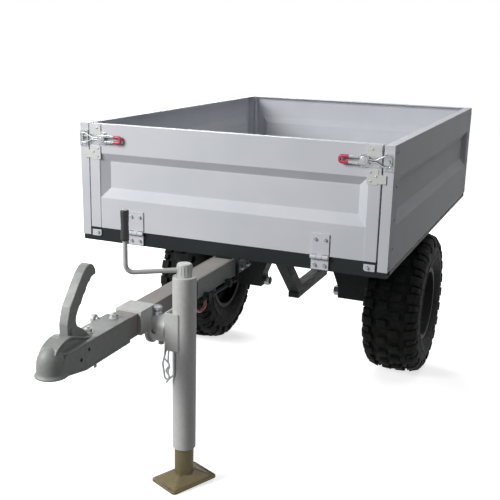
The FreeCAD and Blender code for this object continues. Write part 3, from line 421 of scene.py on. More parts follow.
class Workpiece:
    """A mesh in the making, in millimetres in the trailer's own frame."""

    def __init__(self) -> None:
        """Starts an empty workpiece."""
        self.mesh = bmesh.new()

    def round_edges(self, edges: Sequence[bmesh.types.BMEdge], width: float, segments: int) -> None:
        """Rounds edges.

        Args:
            edges: The edges to round.
            width: The width of the rounding.
            segments: Its number of faces across.
        """
        if width > 0 and edges:
            bmesh.ops.bevel(self.mesh, geom=list(edges), offset=width, segments=segments, **ROUNDED_MESH)

    def round_around(self, verts: Sequence[bmesh.types.BMVert], width: float, segments: int) -> None:
        """Rounds every edge that meets some corners."""
        self.round_edges({edge for vert in verts for edge in vert.link_edges}, width, segments)

    def block(self, low: Point, high: Point, width: float) -> "Workpiece":
        """Adds a block with rounded edges between two opposite corners.

        Args:
            low: The lowest corner.
            high: The highest corner.
            width: The rounding of its edges.

        Returns:
            This workpiece.
        """
        size = Vector(high) - Vector(low)
        place = Matrix.Translation((Vector(low) + Vector(high)) / 2) @ Matrix.Diagonal((*size, 1.0))
        made = bmesh.ops.create_cube(self.mesh, size=1.0, matrix=place)
        self.round_around(made["verts"], width, 2)
        return self

    def slab(self, outline: Outline, axis: Axis, start: float, end: float, width: float = 1.0,
             segments: int = 2, turn: Matrix | None = None) -> "Workpiece":
        """Adds a flat outline drawn out along an axis, with rounded edges.

        Args:
            outline: The outline's pairs of coordinates.
            axis: The axis that it is drawn out along.
            start: Where it starts on the axis.
            end: Where it ends on the axis.
            width: The rounding of its edges.
            segments: The rounding's number of faces across.
            turn: A further placement, made before the rounding.

        Returns:
            This workpiece.
        """
        offset = axis.value * start
        verts = [self.mesh.verts.new(point + offset) for point in drawn_out(outline, axis)]
        face = self.mesh.faces.new(verts)
        grown = bmesh.ops.extrude_face_region(self.mesh, geom=[face])
        moved = [item for item in grown["geom"] if isinstance(item, bmesh.types.BMVert)]
        bmesh.ops.translate(self.mesh, vec=axis.value * (end - start), verts=moved)
        if turn is not None:
            bmesh.ops.transform(self.mesh, matrix=turn, verts=verts + moved)
        self.round_around(verts + moved, width, segments)
        return self

    def walls(self, outline: Outline, inner: float, outer: float, width: float, segments: int = 2) -> "Workpiece":
        """Adds the same upright wall on both sides of the trailer's middle plane.

        Args:
            outline: The wall's pairs of Y and Z.
            inner: The distance of its inner face from the middle plane.
            outer: The distance of its outer face from the middle plane.
            width: The rounding of its edges.
            segments: The rounding's number of faces across.

        Returns:
            This workpiece.
        """
        self.slab(outline, Axis.X, inner, outer, width, segments)
        return self.slab(outline, Axis.X, -outer, -inner, width, segments)

    def bar(self, start: Point, end: Point, radius: float, width: float = 0.0, segments: int = 32,
            end_radius: float | None = None) -> "Workpiece":
        """Adds a round or many-sided bar with rounded rims.

        Args:
            start: The centre of one end.
            end: The centre of the other end.
            radius: Its radius.
            width: The rounding of its two rims.
            segments: Its number of sides.
            end_radius: Its radius at the end, where it tapers.

        Returns:
            This workpiece.
        """
        line = Vector(end) - Vector(start)
        turn = Axis.Z.value.rotation_difference(line.normalized()).to_matrix().to_4x4()
        place = Matrix.Translation((Vector(start) + Vector(end)) / 2) @ turn
        far = radius if end_radius is None else end_radius
        made = bmesh.ops.create_cone(self.mesh, cap_ends=True, segments=segments, radius1=radius, radius2=far,
                                     depth=line.length, matrix=place)
        caps = {face for vert in made["verts"] for face in vert.link_faces if len(face.verts) == segments}
        self.round_edges({edge for face in caps for edge in face.edges}, width, 2)
        return self

    def lathe(self, outline: Outline, axis: Axis, centre: Point, steps: int = 64) -> "Workpiece":
        """Adds an outline turned about an axis.

        Args:
            outline: Pairs of place along the axis and radius.
            axis: The axis that it is turned about.
            centre: A point on that axis.
            steps: The number of sides of the turned shape.

        Returns:
            This workpiece.
        """
        across = Axis.Z.value if axis is not Axis.Z else Axis.X.value
        middle = Vector(centre)
        verts = [self.mesh.verts.new(middle + axis.value * along + across * radius) for along, radius in outline]
        edges = [self.mesh.edges.new(pair) for pair in zip(verts, verts[1:] + verts[:1])]
        closed = outline[0][1] > 0 or outline[-1][1] > 0
        if not closed:
            bmesh.ops.delete(self.mesh, geom=[edges.pop()], context="EDGES_FACES")
        bmesh.ops.spin(self.mesh, geom=verts + edges, cent=middle, axis=axis.value, angle=2 * math.pi,
                       steps=steps, use_merge=True, use_duplicate=False)
        return self

    def sweep(self, path: Sequence[Vector], radius: float, sides: int = 16,
              radii: Sequence[float] | None = None) -> "Workpiece":
        """Adds a round rod along a centre line.

        Args:
            path: The stations of the centre line.
            radius: The rod's radius.
            sides: Its number of sides.
            radii: The radius at each station, where it changes.

        Returns:
            This workpiece.
        """
        sizes = list(radii) if radii is not None else [radius] * len(path)
        tangents = [(b - a).normalized() for a, b in zip(path, path[1:])]
        tangents = [tangents[0]] + [(a + b).normalized() for a, b in zip(tangents, tangents[1:])] + [tangents[-1]]
        turn = Axis.Z.value.rotation_difference(tangents[0]).to_matrix().to_4x4()
        place = Matrix.Translation(path[0]) @ turn
        ring = bmesh.ops.create_circle(self.mesh, cap_ends=True, segments=sides, radius=sizes[0], matrix=place)
        edges = list({edge for vert in ring["verts"] for edge in vert.link_edges})
        for step in range(1, len(path)):
            grown = bmesh.ops.extrude_edge_only(self.mesh, edges=edges)["geom"]
            verts = [item for item in grown if isinstance(item, bmesh.types.BMVert)]
            edges = [item for item in grown if isinstance(item, bmesh.types.BMEdge)
                     and all(vert in verts for vert in item.verts)]
            swing = tangents[step - 1].rotation_difference(tangents[step]).to_matrix().to_4x4()
            growth = Matrix.Scale(sizes[step] / sizes[step - 1], 4)
            move = Matrix.Translation(path[step]) @ swing @ growth @ Matrix.Translation(-path[step - 1])
            bmesh.ops.transform(self.mesh, matrix=move, verts=verts)
        bmesh.ops.contextual_create(self.mesh, geom=edges)
        return self

    def repeat(self, place: Matrix) -> "Workpiece":
        """Adds a copy of all there is so far, placed by a matrix."""
        source = list(self.mesh.verts) + list(self.mesh.edges) + list(self.mesh.faces)
        copied = bmesh.ops.duplicate(self.mesh, geom=source)["geom"]
        verts = [item for item in copied if isinstance(item, bmesh.types.BMVert)]
        bmesh.ops.transform(self.mesh, matrix=place, verts=verts)
        return self

    def move(self, place: Matrix) -> "Workpiece":
        """Places all there is so far by a matrix."""
        bmesh.ops.transform(self.mesh, matrix=place, verts=self.mesh.verts)
        return self

    def hex_bolt(self, seat: Point, out: Vector, flats: float, washer: bool = True,
                 stud: float = 0.0) -> "Workpiece":
        """Adds a hexagon head with its washer, seated on a surface.

        Args:
            seat: Where it sits.
            out: The direction away from the surface.
            flats: Its width across the flats.
            washer: Whether a washer lies under it.
            stud: How far a stud stands out of it.

        Returns:
            This workpiece.
        """
        base = Vector(seat)
        away = out.normalized()
        corner = flats / math.sqrt(3)
        lift = 0.0
        if washer:
            lift = flats * 0.12
            self.bar(base - away * 0.5, base + away * lift, flats * 0.72, 0.3, 24)
        top = lift + flats * 0.55
        self.bar(base + away * (lift - 0.2), base + away * top, corner, flats * 0.05, 6)
        if stud > 0:
            self.bar(base + away * (top - 1), base + away * (top + stud), flats * 0.28, 0.6, 16)
        return self

    def rivet(self, seat: Point, out: Vector, radius: float) -> "Workpiece":
        """Adds a domed rivet head with its collar, seated on a surface."""
        base = Vector(seat)
        away = out.normalized()
        self.bar(base - away * 0.4, base + away * radius * 0.25, radius, radius * 0.12, 20)
        return self.bar(base + away * radius * 0.2, base + away * radius * 0.62, radius * 0.8, radius * 0.3, 20,
                        radius * 0.45)

    def weld(self, start: Point, end: Point, radius: float) -> "Workpiece":
        """Adds a rippled weld bead along a straight joint.

        Args:
            start: Where the bead starts.
            end: Where it ends.
            radius: Its radius.

        Returns:
            This workpiece.
        """
        line = Vector(end) - Vector(start)
        count = max(6, int(line.length / (radius * 0.55)))
        path = [Vector(start) + line * (step / count) for step in range(count + 1)]
        swell = [radius * (0.82, 1.0, 1.06, 0.94)[step % 4] for step in range(count + 1)]
        swell[0] = swell[-1] = radius * 0.5
        return self.sweep(path, radius, 8, swell)

    def settle(self, name: str, body: str, slot: Slot, nodes: Sequence[str] = (), sharp: float = 38.0,
               weighted: bool = True, square: bool = True) -> None:
        """Turns the workpiece into a finished piece of the trailer.

        Args:
            name: The piece's name.
            body: The CAD body that it rides on.
            slot: Its finish.
            nodes: The CAD nodes that it stands for.
            sharp: Edges past this angle in degrees stay crisp.
            weighted: Whether flat faces keep flat shading beside rounded edges.
            square: Whether the mesh is in the trailer's own frame, and not in the row's yet.
        """
        work = self.mesh
        if square:
            bmesh.ops.remove_doubles(work, verts=work.verts, dist=WELD_DISTANCE)
            bmesh.ops.recalc_face_normals(work, faces=work.faces)
            bmesh.ops.transform(work, matrix=TO_ROW, verts=work.verts)
        for face in work.faces:
            face.smooth = True
        limit = math.radians(sharp)
        for edge in work.edges:
            edge.smooth = edge.is_manifold and edge.calc_face_angle(0.0) < limit
        data = bpy.data.meshes.new(name)
        work.to_mesh(data)
        work.free()
        data.materials.append(MATERIALS[slot.value.name])
        piece = linked(name, data)
        if weighted:
            shading = piece.modifiers.new("weighted_normals", "WEIGHTED_NORMAL")
            shading.keep_sharp = True
        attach(piece, body)
        if nodes:
            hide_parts(*nodes)
        LOG.info("%s rides on %s", name, body)


def softened(node: str, body: str, slot: Slot, width: float, segments: int = 2) -> None:
    """Stands a copy of a CAD node with rounded edges in for it.

    Args:
        node: The CAD node's name.
        body: The CAD body that it rides on.
        slot: Its finish.
        width: The rounding of its edges in millimetres.
        segments: The rounding's number of faces across.
    """
    piece = Workpiece()
    work = piece.mesh
    work.from_mesh(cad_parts[node].data)
    bmesh.ops.remove_doubles(work, verts=work.verts, dist=0.00001)
    bmesh.ops.dissolve_limit(work, angle_limit=math.radians(0.4), use_dissolve_boundaries=False,
                             verts=work.verts, edges=work.edges, delimit={"NORMAL"})
    edges = [edge for edge in work.edges if edge.is_manifold and edge.calc_face_angle(0.0) > math.radians(28)]
    piece.round_edges(edges, width * MM, segments)
    piece.settle(node + "_formed", body, slot, (node,), square=False)


def ring_of(count: int, start: float = 0.0) -> list[Matrix]:
    """Returns evenly spaced turns about the X axis.

    Args:
        count: The number of turns.
        start: The first turn in degrees.

    Returns:
        The turns as matrices.
    """
    return [Matrix.Rotation(math.radians(start) + 2 * math.pi * turn / count, 4, "X") for turn in range(count)]


@dataclass
class Wheel:
    """A knobbly low-pressure tyre on its pressed rim and hub."""

    side: int
    track: float = 437.0
    axle_y: float = 805.0
    radius: float = 283.0
    width: float = 218.0
    bead_radius: float = 127.0
    rim_width: float = 184.0
    lugs: int = 24
    lug_depth: float = 15.0

    @property
    def body(self) -> str:
        """The CAD body that the wheel rides on."""
        return "wheel_right" if self.side > 0 else "wheel_left"

    @property
    def tag(self) -> str:
        """The wheel's side in its pieces' names."""
        return "right" if self.side > 0 else "left"

    @property
    def place(self) -> Matrix:
        """The wheel's place on its axle, mirrored on the left."""
        axle = Matrix.Translation((self.track, self.axle_y, self.radius / math.cos(STANCE)))
        stand = Matrix.Rotation(-STANCE, 4, "X")
        return (MIRROR_X if self.side < 0 else Matrix.Identity(4)) @ axle @ stand

    def carcass(self, work: Workpiece) -> None:
        """Adds the tyre's carcass with its bead, sidewall rings and crown.

        Args:
            work: The workpiece that it is added to.
        """
        half = self.width / 2
        seat = self.bead_radius + 4.3
        bead = self.rim_width / 2 - 4.3
        floor = self.radius - self.lug_depth
        wall = [(bead - 9, seat), (bead, seat), (bead + 0.4, 146), (bead + 4, 150), (bead + 9, 158), (half - 5, 172),
                (half - 2, 186), (half, 190), (half, 194), (half - 2.5, 197), (half - 1.5, 212),
                (half - 3.5, 226), (half - 9, 240), (half - 20, 252), (half - 38, floor - 7), (half - 62, floor - 2.5)]
        inner = [(half - 64, floor - 14), (half - 32, floor - 22), (half - 16, 226), (half - 11, 200),
                 (half - 17, 172), (bead - 9, 152)]
        outside = wall + [(0, floor)] + [(-x, r) for x, r in reversed(wall)]
        hollow = [(-x, r) for x, r in reversed(inner)] + [(0, floor - 12)] + inner
        work.lathe(outside + hollow, Axis.X, (0, 0, 0), 96)

    def tread(self, work: Workpiece) -> None:
        """Adds the shoulder lugs, the bars between them and the knobs of the crown.

        Args:
            work: The workpiece that it is added to.
        """
        half = self.width / 2
        top = self.radius
        shoulder = [(half - 46, top - 22), (half - 47, top - 3.5), (half - 16, top - 14), (half - 2, top - 34),
                    (half, top - 52), (half - 12, top - 56), (half - 34, top - 36)]
        biter = [(half - 36, top - 24), (half - 36, top - 8), (half - 14, top - 19), (half - 4, top - 38),
                 (half - 16, top - 42)]
        knob = [(6, top - 20), (6, top), (42, top - 2.0), (42, top - 20)]
        turned = ((shoulder, 17.0, 0.0), (biter, 11.0, 0.5), (knob, 15.0, 0.0))
        for sign in (1, -1):
            for outline, half_length, phase in turned:
                lug = [(sign * x, r) for x, r in outline]
                shift = phase + (0.5 if sign < 0 else 0.0)
                for turn in ring_of(self.lugs, 360 / self.lugs * shift):
                    work.slab(lug, Axis.Y, -half_length, half_length, 2.2, 2, turn)

    def build_tyre(self) -> None:
        """Builds the tyre with its tread."""
        work = Workpiece()
        self.carcass(work)
        self.tread(work)
        work.move(self.place)
        work.settle(f"knobbly_tyre_{self.tag}", self.body, Slot.TYRE, (f"tyre_{self.tag}",), 42.0, False)

    def build_rim(self) -> None:
        """Builds the rim with its rolled flanges, drop centre and disc."""
        half = self.rim_width / 2
        seat = self.bead_radius + 4
        lip = seat + 13
        well = seat - 20
        tread_side = [(-half + 0.6, lip), (-half + 3.4, lip), (-half + 4, lip - 2), (-half + 4, seat), (-52, seat),
                      (-46, seat - 4), (-41, well + 3), (-37, well), (37, well), (41, well + 3), (46, seat - 4),
                      (52, seat), (half - 4, seat), (half - 4, lip - 2), (half - 3.4, lip), (half - 0.6, lip)]
        open_side = [(half, lip - 1), (half, seat - 2), (half - 3, seat - 4), (54, seat - 4), (48, seat - 8),
                     (43, well), (39, well - 4), (34, well - 4), (34, 96), (31, 90), (31, 72), (34, 66), (34, 34),
                     (28, 34), (28, 64), (25, 71), (25, 91), (28, 97), (28, well - 4), (-39, well - 4), (-43, well),
                     (-48, seat - 8), (-54, seat - 4), (-half + 3, seat - 4), (-half, seat - 2), (-half, lip - 1)]
        work = Workpiece().lathe(tread_side + open_side, Axis.X, (0, 0, 0), 72).move(self.place)
        work.settle(f"pressed_rim_{self.tag}", self.body, Slot.RIM_BLACK, (f"rim_{self.tag}",), 40.0)

    def build_hub(self) -> None:
        """Builds the hub, its grease cap, its wheel nuts and the valve."""
        body = [(-82, 15.05), (-82, 36), (-80, 38), (-4, 38), (16, 40), (19, 44), (19, 60), (21, 62), (26, 62),
                (28, 60), (28, 34), (40, 34), (40, 31), (42, 30), (42, 15.05)]
        hub = Workpiece().lathe(body, Axis.X, (0, 0, 0), 48).move(self.place)
        hub.settle(f"turned_hub_{self.tag}", self.body, Slot.RIM_BLACK, (f"hub_{self.tag}",), 40.0)
        cap = [(38, 0), (38, 31), (44, 31), (45, 29), (60, 28.5), (65, 26), (67, 20), (68, 0)]
        trim = Workpiece().lathe(cap, Axis.X, (0, 0, 0), 40)
        for turn in ring_of(4, 45):
            trim.hex_bolt(turn @ Vector((34, 0, 50)), Axis.X.value, 19.0, True, 5.0)
        trim.move(self.place)
        trim.settle(f"wheel_nuts_{self.tag}", self.body, Slot.BRIGHT_ZINC)
        stem = [Vector((38, 0, 104)), Vector((44, 0, 101)), Vector((54, 0, 96)), Vector((66, 0, 92))]
        valve = Workpiece().sweep(stem, 5.0, 16, [6.5, 5.5, 4.2, 4.2])
        valve.bar((66, 0, 92), (76, 0, 88.6), 4.6, 0.8, 16).move(self.place)
        valve.settle(f"valve_{self.tag}", self.body, Slot.BLACK_PLASTIC)

    def build(self) -> None:
        """Builds the wheel's pieces."""
        self.build_tyre()
        self.build_rim()
        self.build_hub()


@dataclass
class Box:
    """The load box: pressed panels, corner posts, floor and the frame under them."""

    half: float = BOX_HALF
    member_half: float = 25.0
    rail_inner_x: float = BOX_HALF - 42.5
    rail_bottom: float = 603.3
    rail_top: float = 650.0
    floor_top: float = 653.0
    bead: float = 2.6

    def build_panels(self) -> None:
        """Builds the panels, posts, floor and rails with rolled edges."""
        for node, body, width in (("side_panel_right", "box", 1.1), ("side_panel_left", "box", 1.1),
                                  ("front_gate", "gate_front", 1.1), ("rear_gate", "gate_rear", 1.1),
                                  ("corner_posts", "box", 1.1), ("floor", "box", 0.8)):
            softened(node, body, Slot.BOX_PAINT, width)
        for node in ("base_end_rails", "base_side_rails", "base_cross_members", "tip_striker", "tip_pivot_ears"):
            softened(node, "box", Slot.CHASSIS_BLACK, 1.0)

    def build_post_rivets(self) -> None:
        """Builds the rivets that hold the panels to the corner posts."""
        work = Workpiece()
        for place, height in ((46.0, 690.0), (46.0, 780.0), (46.0, 880.0), (46.0, 985.0), (16.0, 636.0), (16.0, 985.0)):
            work.rivet((self.half, place, height), Axis.X.value, 5.0)
        work.repeat(MIRROR_X).repeat(MIRROR_ENDS)
        work.settle("panel_rivets", "box", Slot.BOX_PAINT)

    def build_floor_bolts(self) -> None:
        """Builds the rows of countersunk bolts that hold the floor to its members."""
        work = Workpiece()
        for middle in MEMBER_PLACES:
            for place in (-420.0, -210.0, 0.0, 210.0, 420.0):
                work.bar((place, middle, self.floor_top - 0.4), (place, middle, self.floor_top + 0.9), 8.0, 0.5, 20)
        work.settle("floor_bolts", "box", Slot.DULL_ZINC)

    def build_frame_welds(self) -> None:
        """Builds the welds between the base frame's rails and members."""
        work = Workpiece()
        inner = self.rail_inner_x
        low = self.rail_bottom + 0.6
        for middle in MEMBER_PLACES:
            near, far = middle - self.member_half, middle + self.member_half
            for end in (near, far):
                work.weld((inner, end, self.rail_bottom + 2), (inner, end, self.rail_top - 2), self.bead)
            work.weld((inner, near, low), (inner, far, low), self.bead)
        work.repeat(MIRROR_X)
        work.settle("base_frame_welds", "box", Slot.CHASSIS_BLACK)

    def build(self) -> None:
        """Builds the box's pieces."""
        self.build_panels()
        self.build_post_rivets()
        self.build_floor_bolts()
        self.build_frame_welds()


@dataclass
class GateFittings:
    """The hinges, toggle latches, strips and plates of one drop gate."""

    end: str
    hinge_x: float = 328.0
    hinge_half: float = 28.5
    hinge_z: float = 648.0
    latch_z: float = 960.0
    pivot_x: float = 453.0
    rod_y: float = -11.5
    plate_y: float = -3.4
    lever_plate_y: float = -3.0
    bolt_flats: float = 8.5

    def fit(self, work: Workpiece, name: str, slot: Slot, nodes: Sequence[str] = (), body: str = "") -> None:
        """Mirrors a front right piece to the left, takes it to this gate's end and settles it.

        Args:
            work: The piece, made for the front gate's right side.
            name: The piece's name, without the gate's end.
            slot: Its finish.
            nodes: The CAD nodes that it stands for, without the gate's end.
            body: The CAD body that it rides on, where that isn't the gate.
        """
        work.repeat(MIRROR_X)
        if self.end == "rear":
            work.move(MIRROR_ENDS)
        work.settle(f"{self.end}_{name}", body or f"gate_{self.end}", slot, [f"{self.end}_{node}" for node in nodes])

    def build_hinges(self) -> None:
        """Builds the hinge leaves, their bolts and the pins' heads."""
        upper = Workpiece()
        lower = Workpiece()
        for place in (self.hinge_x - 16, self.hinge_x + 16):
            upper.hex_bolt((place, -4.0, 704.0), -Axis.Y.value, self.bolt_flats)
            lower.hex_bolt((place, -4.0, 622.0), -Axis.Y.value, self.bolt_flats)
        for out in (-1, 1):
            head = self.hinge_x + out * self.hinge_half
            lower.bar((head, -8.0, self.hinge_z), (head + out * 2.4, -8.0, self.hinge_z), 5.6, 0.7, 20)
        self.fit(upper, "hinge_bolts", Slot.BRIGHT_ZINC)
        self.fit(lower, "hinge_seat_bolts", Slot.BRIGHT_ZINC, body="box")
        softened(f"{self.end}_gate_hinges", f"gate_{self.end}", Slot.BOX_PAINT, 0.8)

    def build_levers(self) -> None:
        """Builds the toggle levers: plate, drum, arms and the hook round the catch."""
        z = self.latch_z
        y = self.rod_y
        pivot = self.pivot_x
        work = Workpiece().block((440, self.lever_plate_y, z - 21), (505, 0, z + 21), 0.8)
        work.bar((pivot, -2, z), (pivot, -15.5, z), 13.0, 1.6, 32)
        work.bar((pivot, -15, z), (pivot, -17, z), 6.0, 0.8, 20)
        for sign in (1, -1):
            arm = [(386, z + sign * 6.0), (386, z + sign * 11), (432, z + sign * 14), (pivot + 14, z + sign * 11.5),
                   (pivot + 17, z + sign * 8), (pivot + 14, z + sign * 6), (432, z + sign * 5.5)]
            work.slab(arm, Axis.Y, -13.6, -9.0, 1.0)
            work.bar((434, -13, z + sign * 9.6), (434, -15.6, z + sign * 9.6), 3.6, 0.8, 20)
            rod = [(pivot, y, z + sign * 3), (490, y, z + sign * 3.4), (512, y, z + sign * 15.5),
                   (528.5, y, z + sign * 15.5)]
            work.sweep(rounded_path(rod, 8), 2.2, 12)
        hook = [(526, y, z + 15.5), (533.6, y, z + 15.5), (533.6, y, z - 15.5), (526, y, z - 15.5)]
        work.sweep(rounded_path(hook, 5), 2.2, 12)
        self.fit(work, "toggle_levers", Slot.BRIGHT_ZINC, ("latch_levers",))

    def build_grips(self) -> None:
        """Builds the dipped red grips, loops open towards the pivot."""
        y = self.rod_y
        corners = [(x, y, self.latch_z + rise) for x, rise in ((405, 9), (378.5, 9), (378.5, -9), (405, -9))]
        self.fit(Workpiece().sweep(rounded_path(corners, 6), 5.0, 20), "dipped_grips", Slot.RED_VINYL, ("latch_grips",))

    def build_guide_plates(self) -> None:
        """Builds the guide plates, the lower of which laps over the post, and the latches' rivets."""
        lap = [(462, 892), (466, 888), (493, 888), (497, 892), (521, 892), (521, 919), (497, 919), (497, 935),
               (462, 935)]
        plates = Workpiece().slab(lap, Axis.Y, self.plate_y, -1.0, 0.7)
        plates.block((460, self.plate_y, 972), (504, -1.0, 1005), 0.7)
        self.fit(plates, "guide_plates", Slot.DULL_ZINC)
        rivets = Workpiece()
        for seat, places in ((self.lever_plate_y, ((447, 944), (447, 976), (498, 944))),
                             (self.plate_y, ((475, 994), (472, 926), (473, 899), (490, 914)))):
            for place, height in places:
                rivets.rivet((place, seat, height), -Axis.Y.value, 4.2)
        self.fit(rivets, "latch_rivets", Slot.BRIGHT_ZINC)

    def build_end_strips(self) -> None:
        """Builds the strips along the gate's ends and the short plates of the box under them."""
        self.fit(Workpiece().block((467, -1.8, 652), (505, 0.2, 1007), 0.9), "end_strips", Slot.BOX_PAINT)
        plate = [(467, 643), (467, 626), (472, 621), (503, 621), (503, 643)]
        self.fit(Workpiece().slab(plate, Axis.Y, -1.6, 2.7, 0.9), "foot_plates", Slot.BOX_PAINT, body="box")
        bolt = Workpiece().hex_bolt((479, -1.6, 633), -Axis.Y.value, self.bolt_flats)
        self.fit(bolt, "foot_plate_bolts", Slot.BRIGHT_ZINC, body="box")

    def build_catch_rivets(self) -> None:
        """Builds the rivets of the catch plates on the posts."""
        work = Workpiece()
        for place, height in ((518, 937), (535, 937), (517, 981)):
            work.rivet((place, self.lever_plate_y, height), -Axis.Y.value, 4.0)
        self.fit(work, "catch_rivets", Slot.BRIGHT_ZINC, body="box")

    def build(self) -> None:
        """Builds the gate's fittings."""
        self.build_hinges()
        self.build_levers()
        self.build_grips()
        self.build_guide_plates()
        self.build_end_strips()
        self.build_catch_rivets()


@dataclass
class Coupler:
    """The ball coupler's shell, lever, bolts and pins on the drawbar's front end."""

    side: float = 35.0
    top: float = 608.0
    ball_y: float = -934.0

    def build_lever(self) -> None:
        """Builds the cast lever with its finger grooves."""
        front = [(-883, 616), (-884, 660), (-879, 676), (-870, 700), (-853, 721), (-835, 744), (-815, 767),
                 (-800, 779), (-785, 783), (-772, 777), (-764, 764)]
        under = [(-763, 752), (-772, 751), (-783, 748), (-789, 740), (-796, 737), (-804, 728), (-808, 719),
                 (-815, 715), (-822, 705), (-827, 696), (-834, 692), (-842, 681), (-848, 670)]
        heel = [(-850, 660), (-845, 647), (-815, 627), (-800, 612), (-800, 606)]
        work = Workpiece().slab(front + under + heel, Axis.X, -12.8, 12.8, 4.5, 3)
        work.bar((-15.5, -868, 640), (15.5, -868, 640), 7.0, 1.0, 24)
        work.settle("coupler_lever", "undercarriage", Slot.CAST_GREY, ("coupler_handle",), 50.0)

    def build_body(self) -> None:
        """Builds the pressed shell: domed socket with its lip, cheeks, humped neck and channel."""
        socket = [(605.2, 0), (603.6, 9), (598.6, 17.4), (590, 23.2), (580, 25.3), (555, 25.3), (555, 38.4),
                  (555.8, 39), (558.4, 39), (560, 37.4), (562.6, 35.2), (567, 34.2), (580, 34), (592, 32.8),
                  (602, 30), (611, 25.2), (618, 18.6), (622.6, 10), (624, 0)]
        work = Workpiece().lathe(socket, Axis.Z, (0, self.ball_y, 0), 64)
        channel = [(-35, 541), (-35, 608), (35, 608), (35, 541), (30, 541), (30, 603), (-30, 603), (-30, 541)]
        work.slab(channel, Axis.Y, -852, -648, 1.6, 3)
        cheek = [(-934, 557), (-922, 554.4), (-850, 541), (-846, 541), (-846, 607.6), (-888, 607.6),
                 (-904, 606), (-924, 600), (-933, 590)]
        work.walls(cheek, 29.0, 34.6, 1.8, 3)
        lip = [(-926, 555.4), (-850, 541.5), (-652, 541.5), (-652, 546), (-850, 546), (-926, 559.6)]
        work.walls(lip, 34.0, 37.4, 1.2)
        shoulder = [(-31, -918), (-24, -926), (24, -926), (31, -918), (34.4, -900), (35, -846), (-35, -846),
                    (-34.4, -900)]
        work.slab(shoulder, Axis.Z, 599, 608, 3.4, 4)
        hump = [(-951, 605), (-947, 613), (-938, 622), (-924, 629), (-908, 634), (-892, 635.4), (-880, 634),
                (-860, 627.5), (-826, 613.5), (-800, 608.6), (-796, 604), (-826, 606), (-862, 619), (-890, 627),
                (-910, 625), (-928, 619), (-940, 611), (-946, 603)]
        work.slab(hump, Axis.X, -23, 23, 3.6, 4)
        rib = [(-946, 602), (-940, 616), (-924, 626), (-896, 631), (-884, 631), (-862, 624), (-810, 606), (-810, 602)]
        work.walls(rib, 19.0, 23.0, 1.0)
        work.settle("coupler_shell", "undercarriage", Slot.CAST_GREY, ("coupler_body",), 52.0)

    def build_bolts(self) -> None:
        """Builds the through bolts, the pins, the side bolt and the tab."""
        work = Workpiece()
        for place in (-785.0, -668.0):
            work.hex_bolt((0.0, place, self.top), Axis.Z.value, 17.0, True, 4.0)
            work.hex_bolt((0.0, place, 543.0), -Axis.Z.value, 17.0, True, 5.0)
        work.settle("coupler_bolts", "undercarriage", Slot.DULL_ZINC)
        pins = Workpiece()
        for place, height in ((-834.0, 588.0), (-866.0, 573.0)):
            pins.rivet((self.side - 0.4, place, height), Axis.X.value, 4.6)
        pins.repeat(MIRROR_X).settle("coupler_pins", "undercarriage", Slot.CHASSIS_BLACK)
        knob = Workpiece().bar((-33, -690, 606), (-46, -690, 606), 6.0, 0.5, 24)
        knob.bar((-40, -690, 606), (-52, -690, 606), 12.0, 3.0, 32)
        knob.settle("coupler_side_bolt", "undercarriage", Slot.DULL_ZINC)
        tab = Workpiece().block((31, -812, 532), (35, -804, 545), 0.8)
        tab.settle("coupler_tab", "undercarriage", Slot.DULL_ZINC)

    def build(self) -> None:
        """Builds the coupler's pieces."""
        self.build_lever()
        self.build_body()
        self.build_bolts()


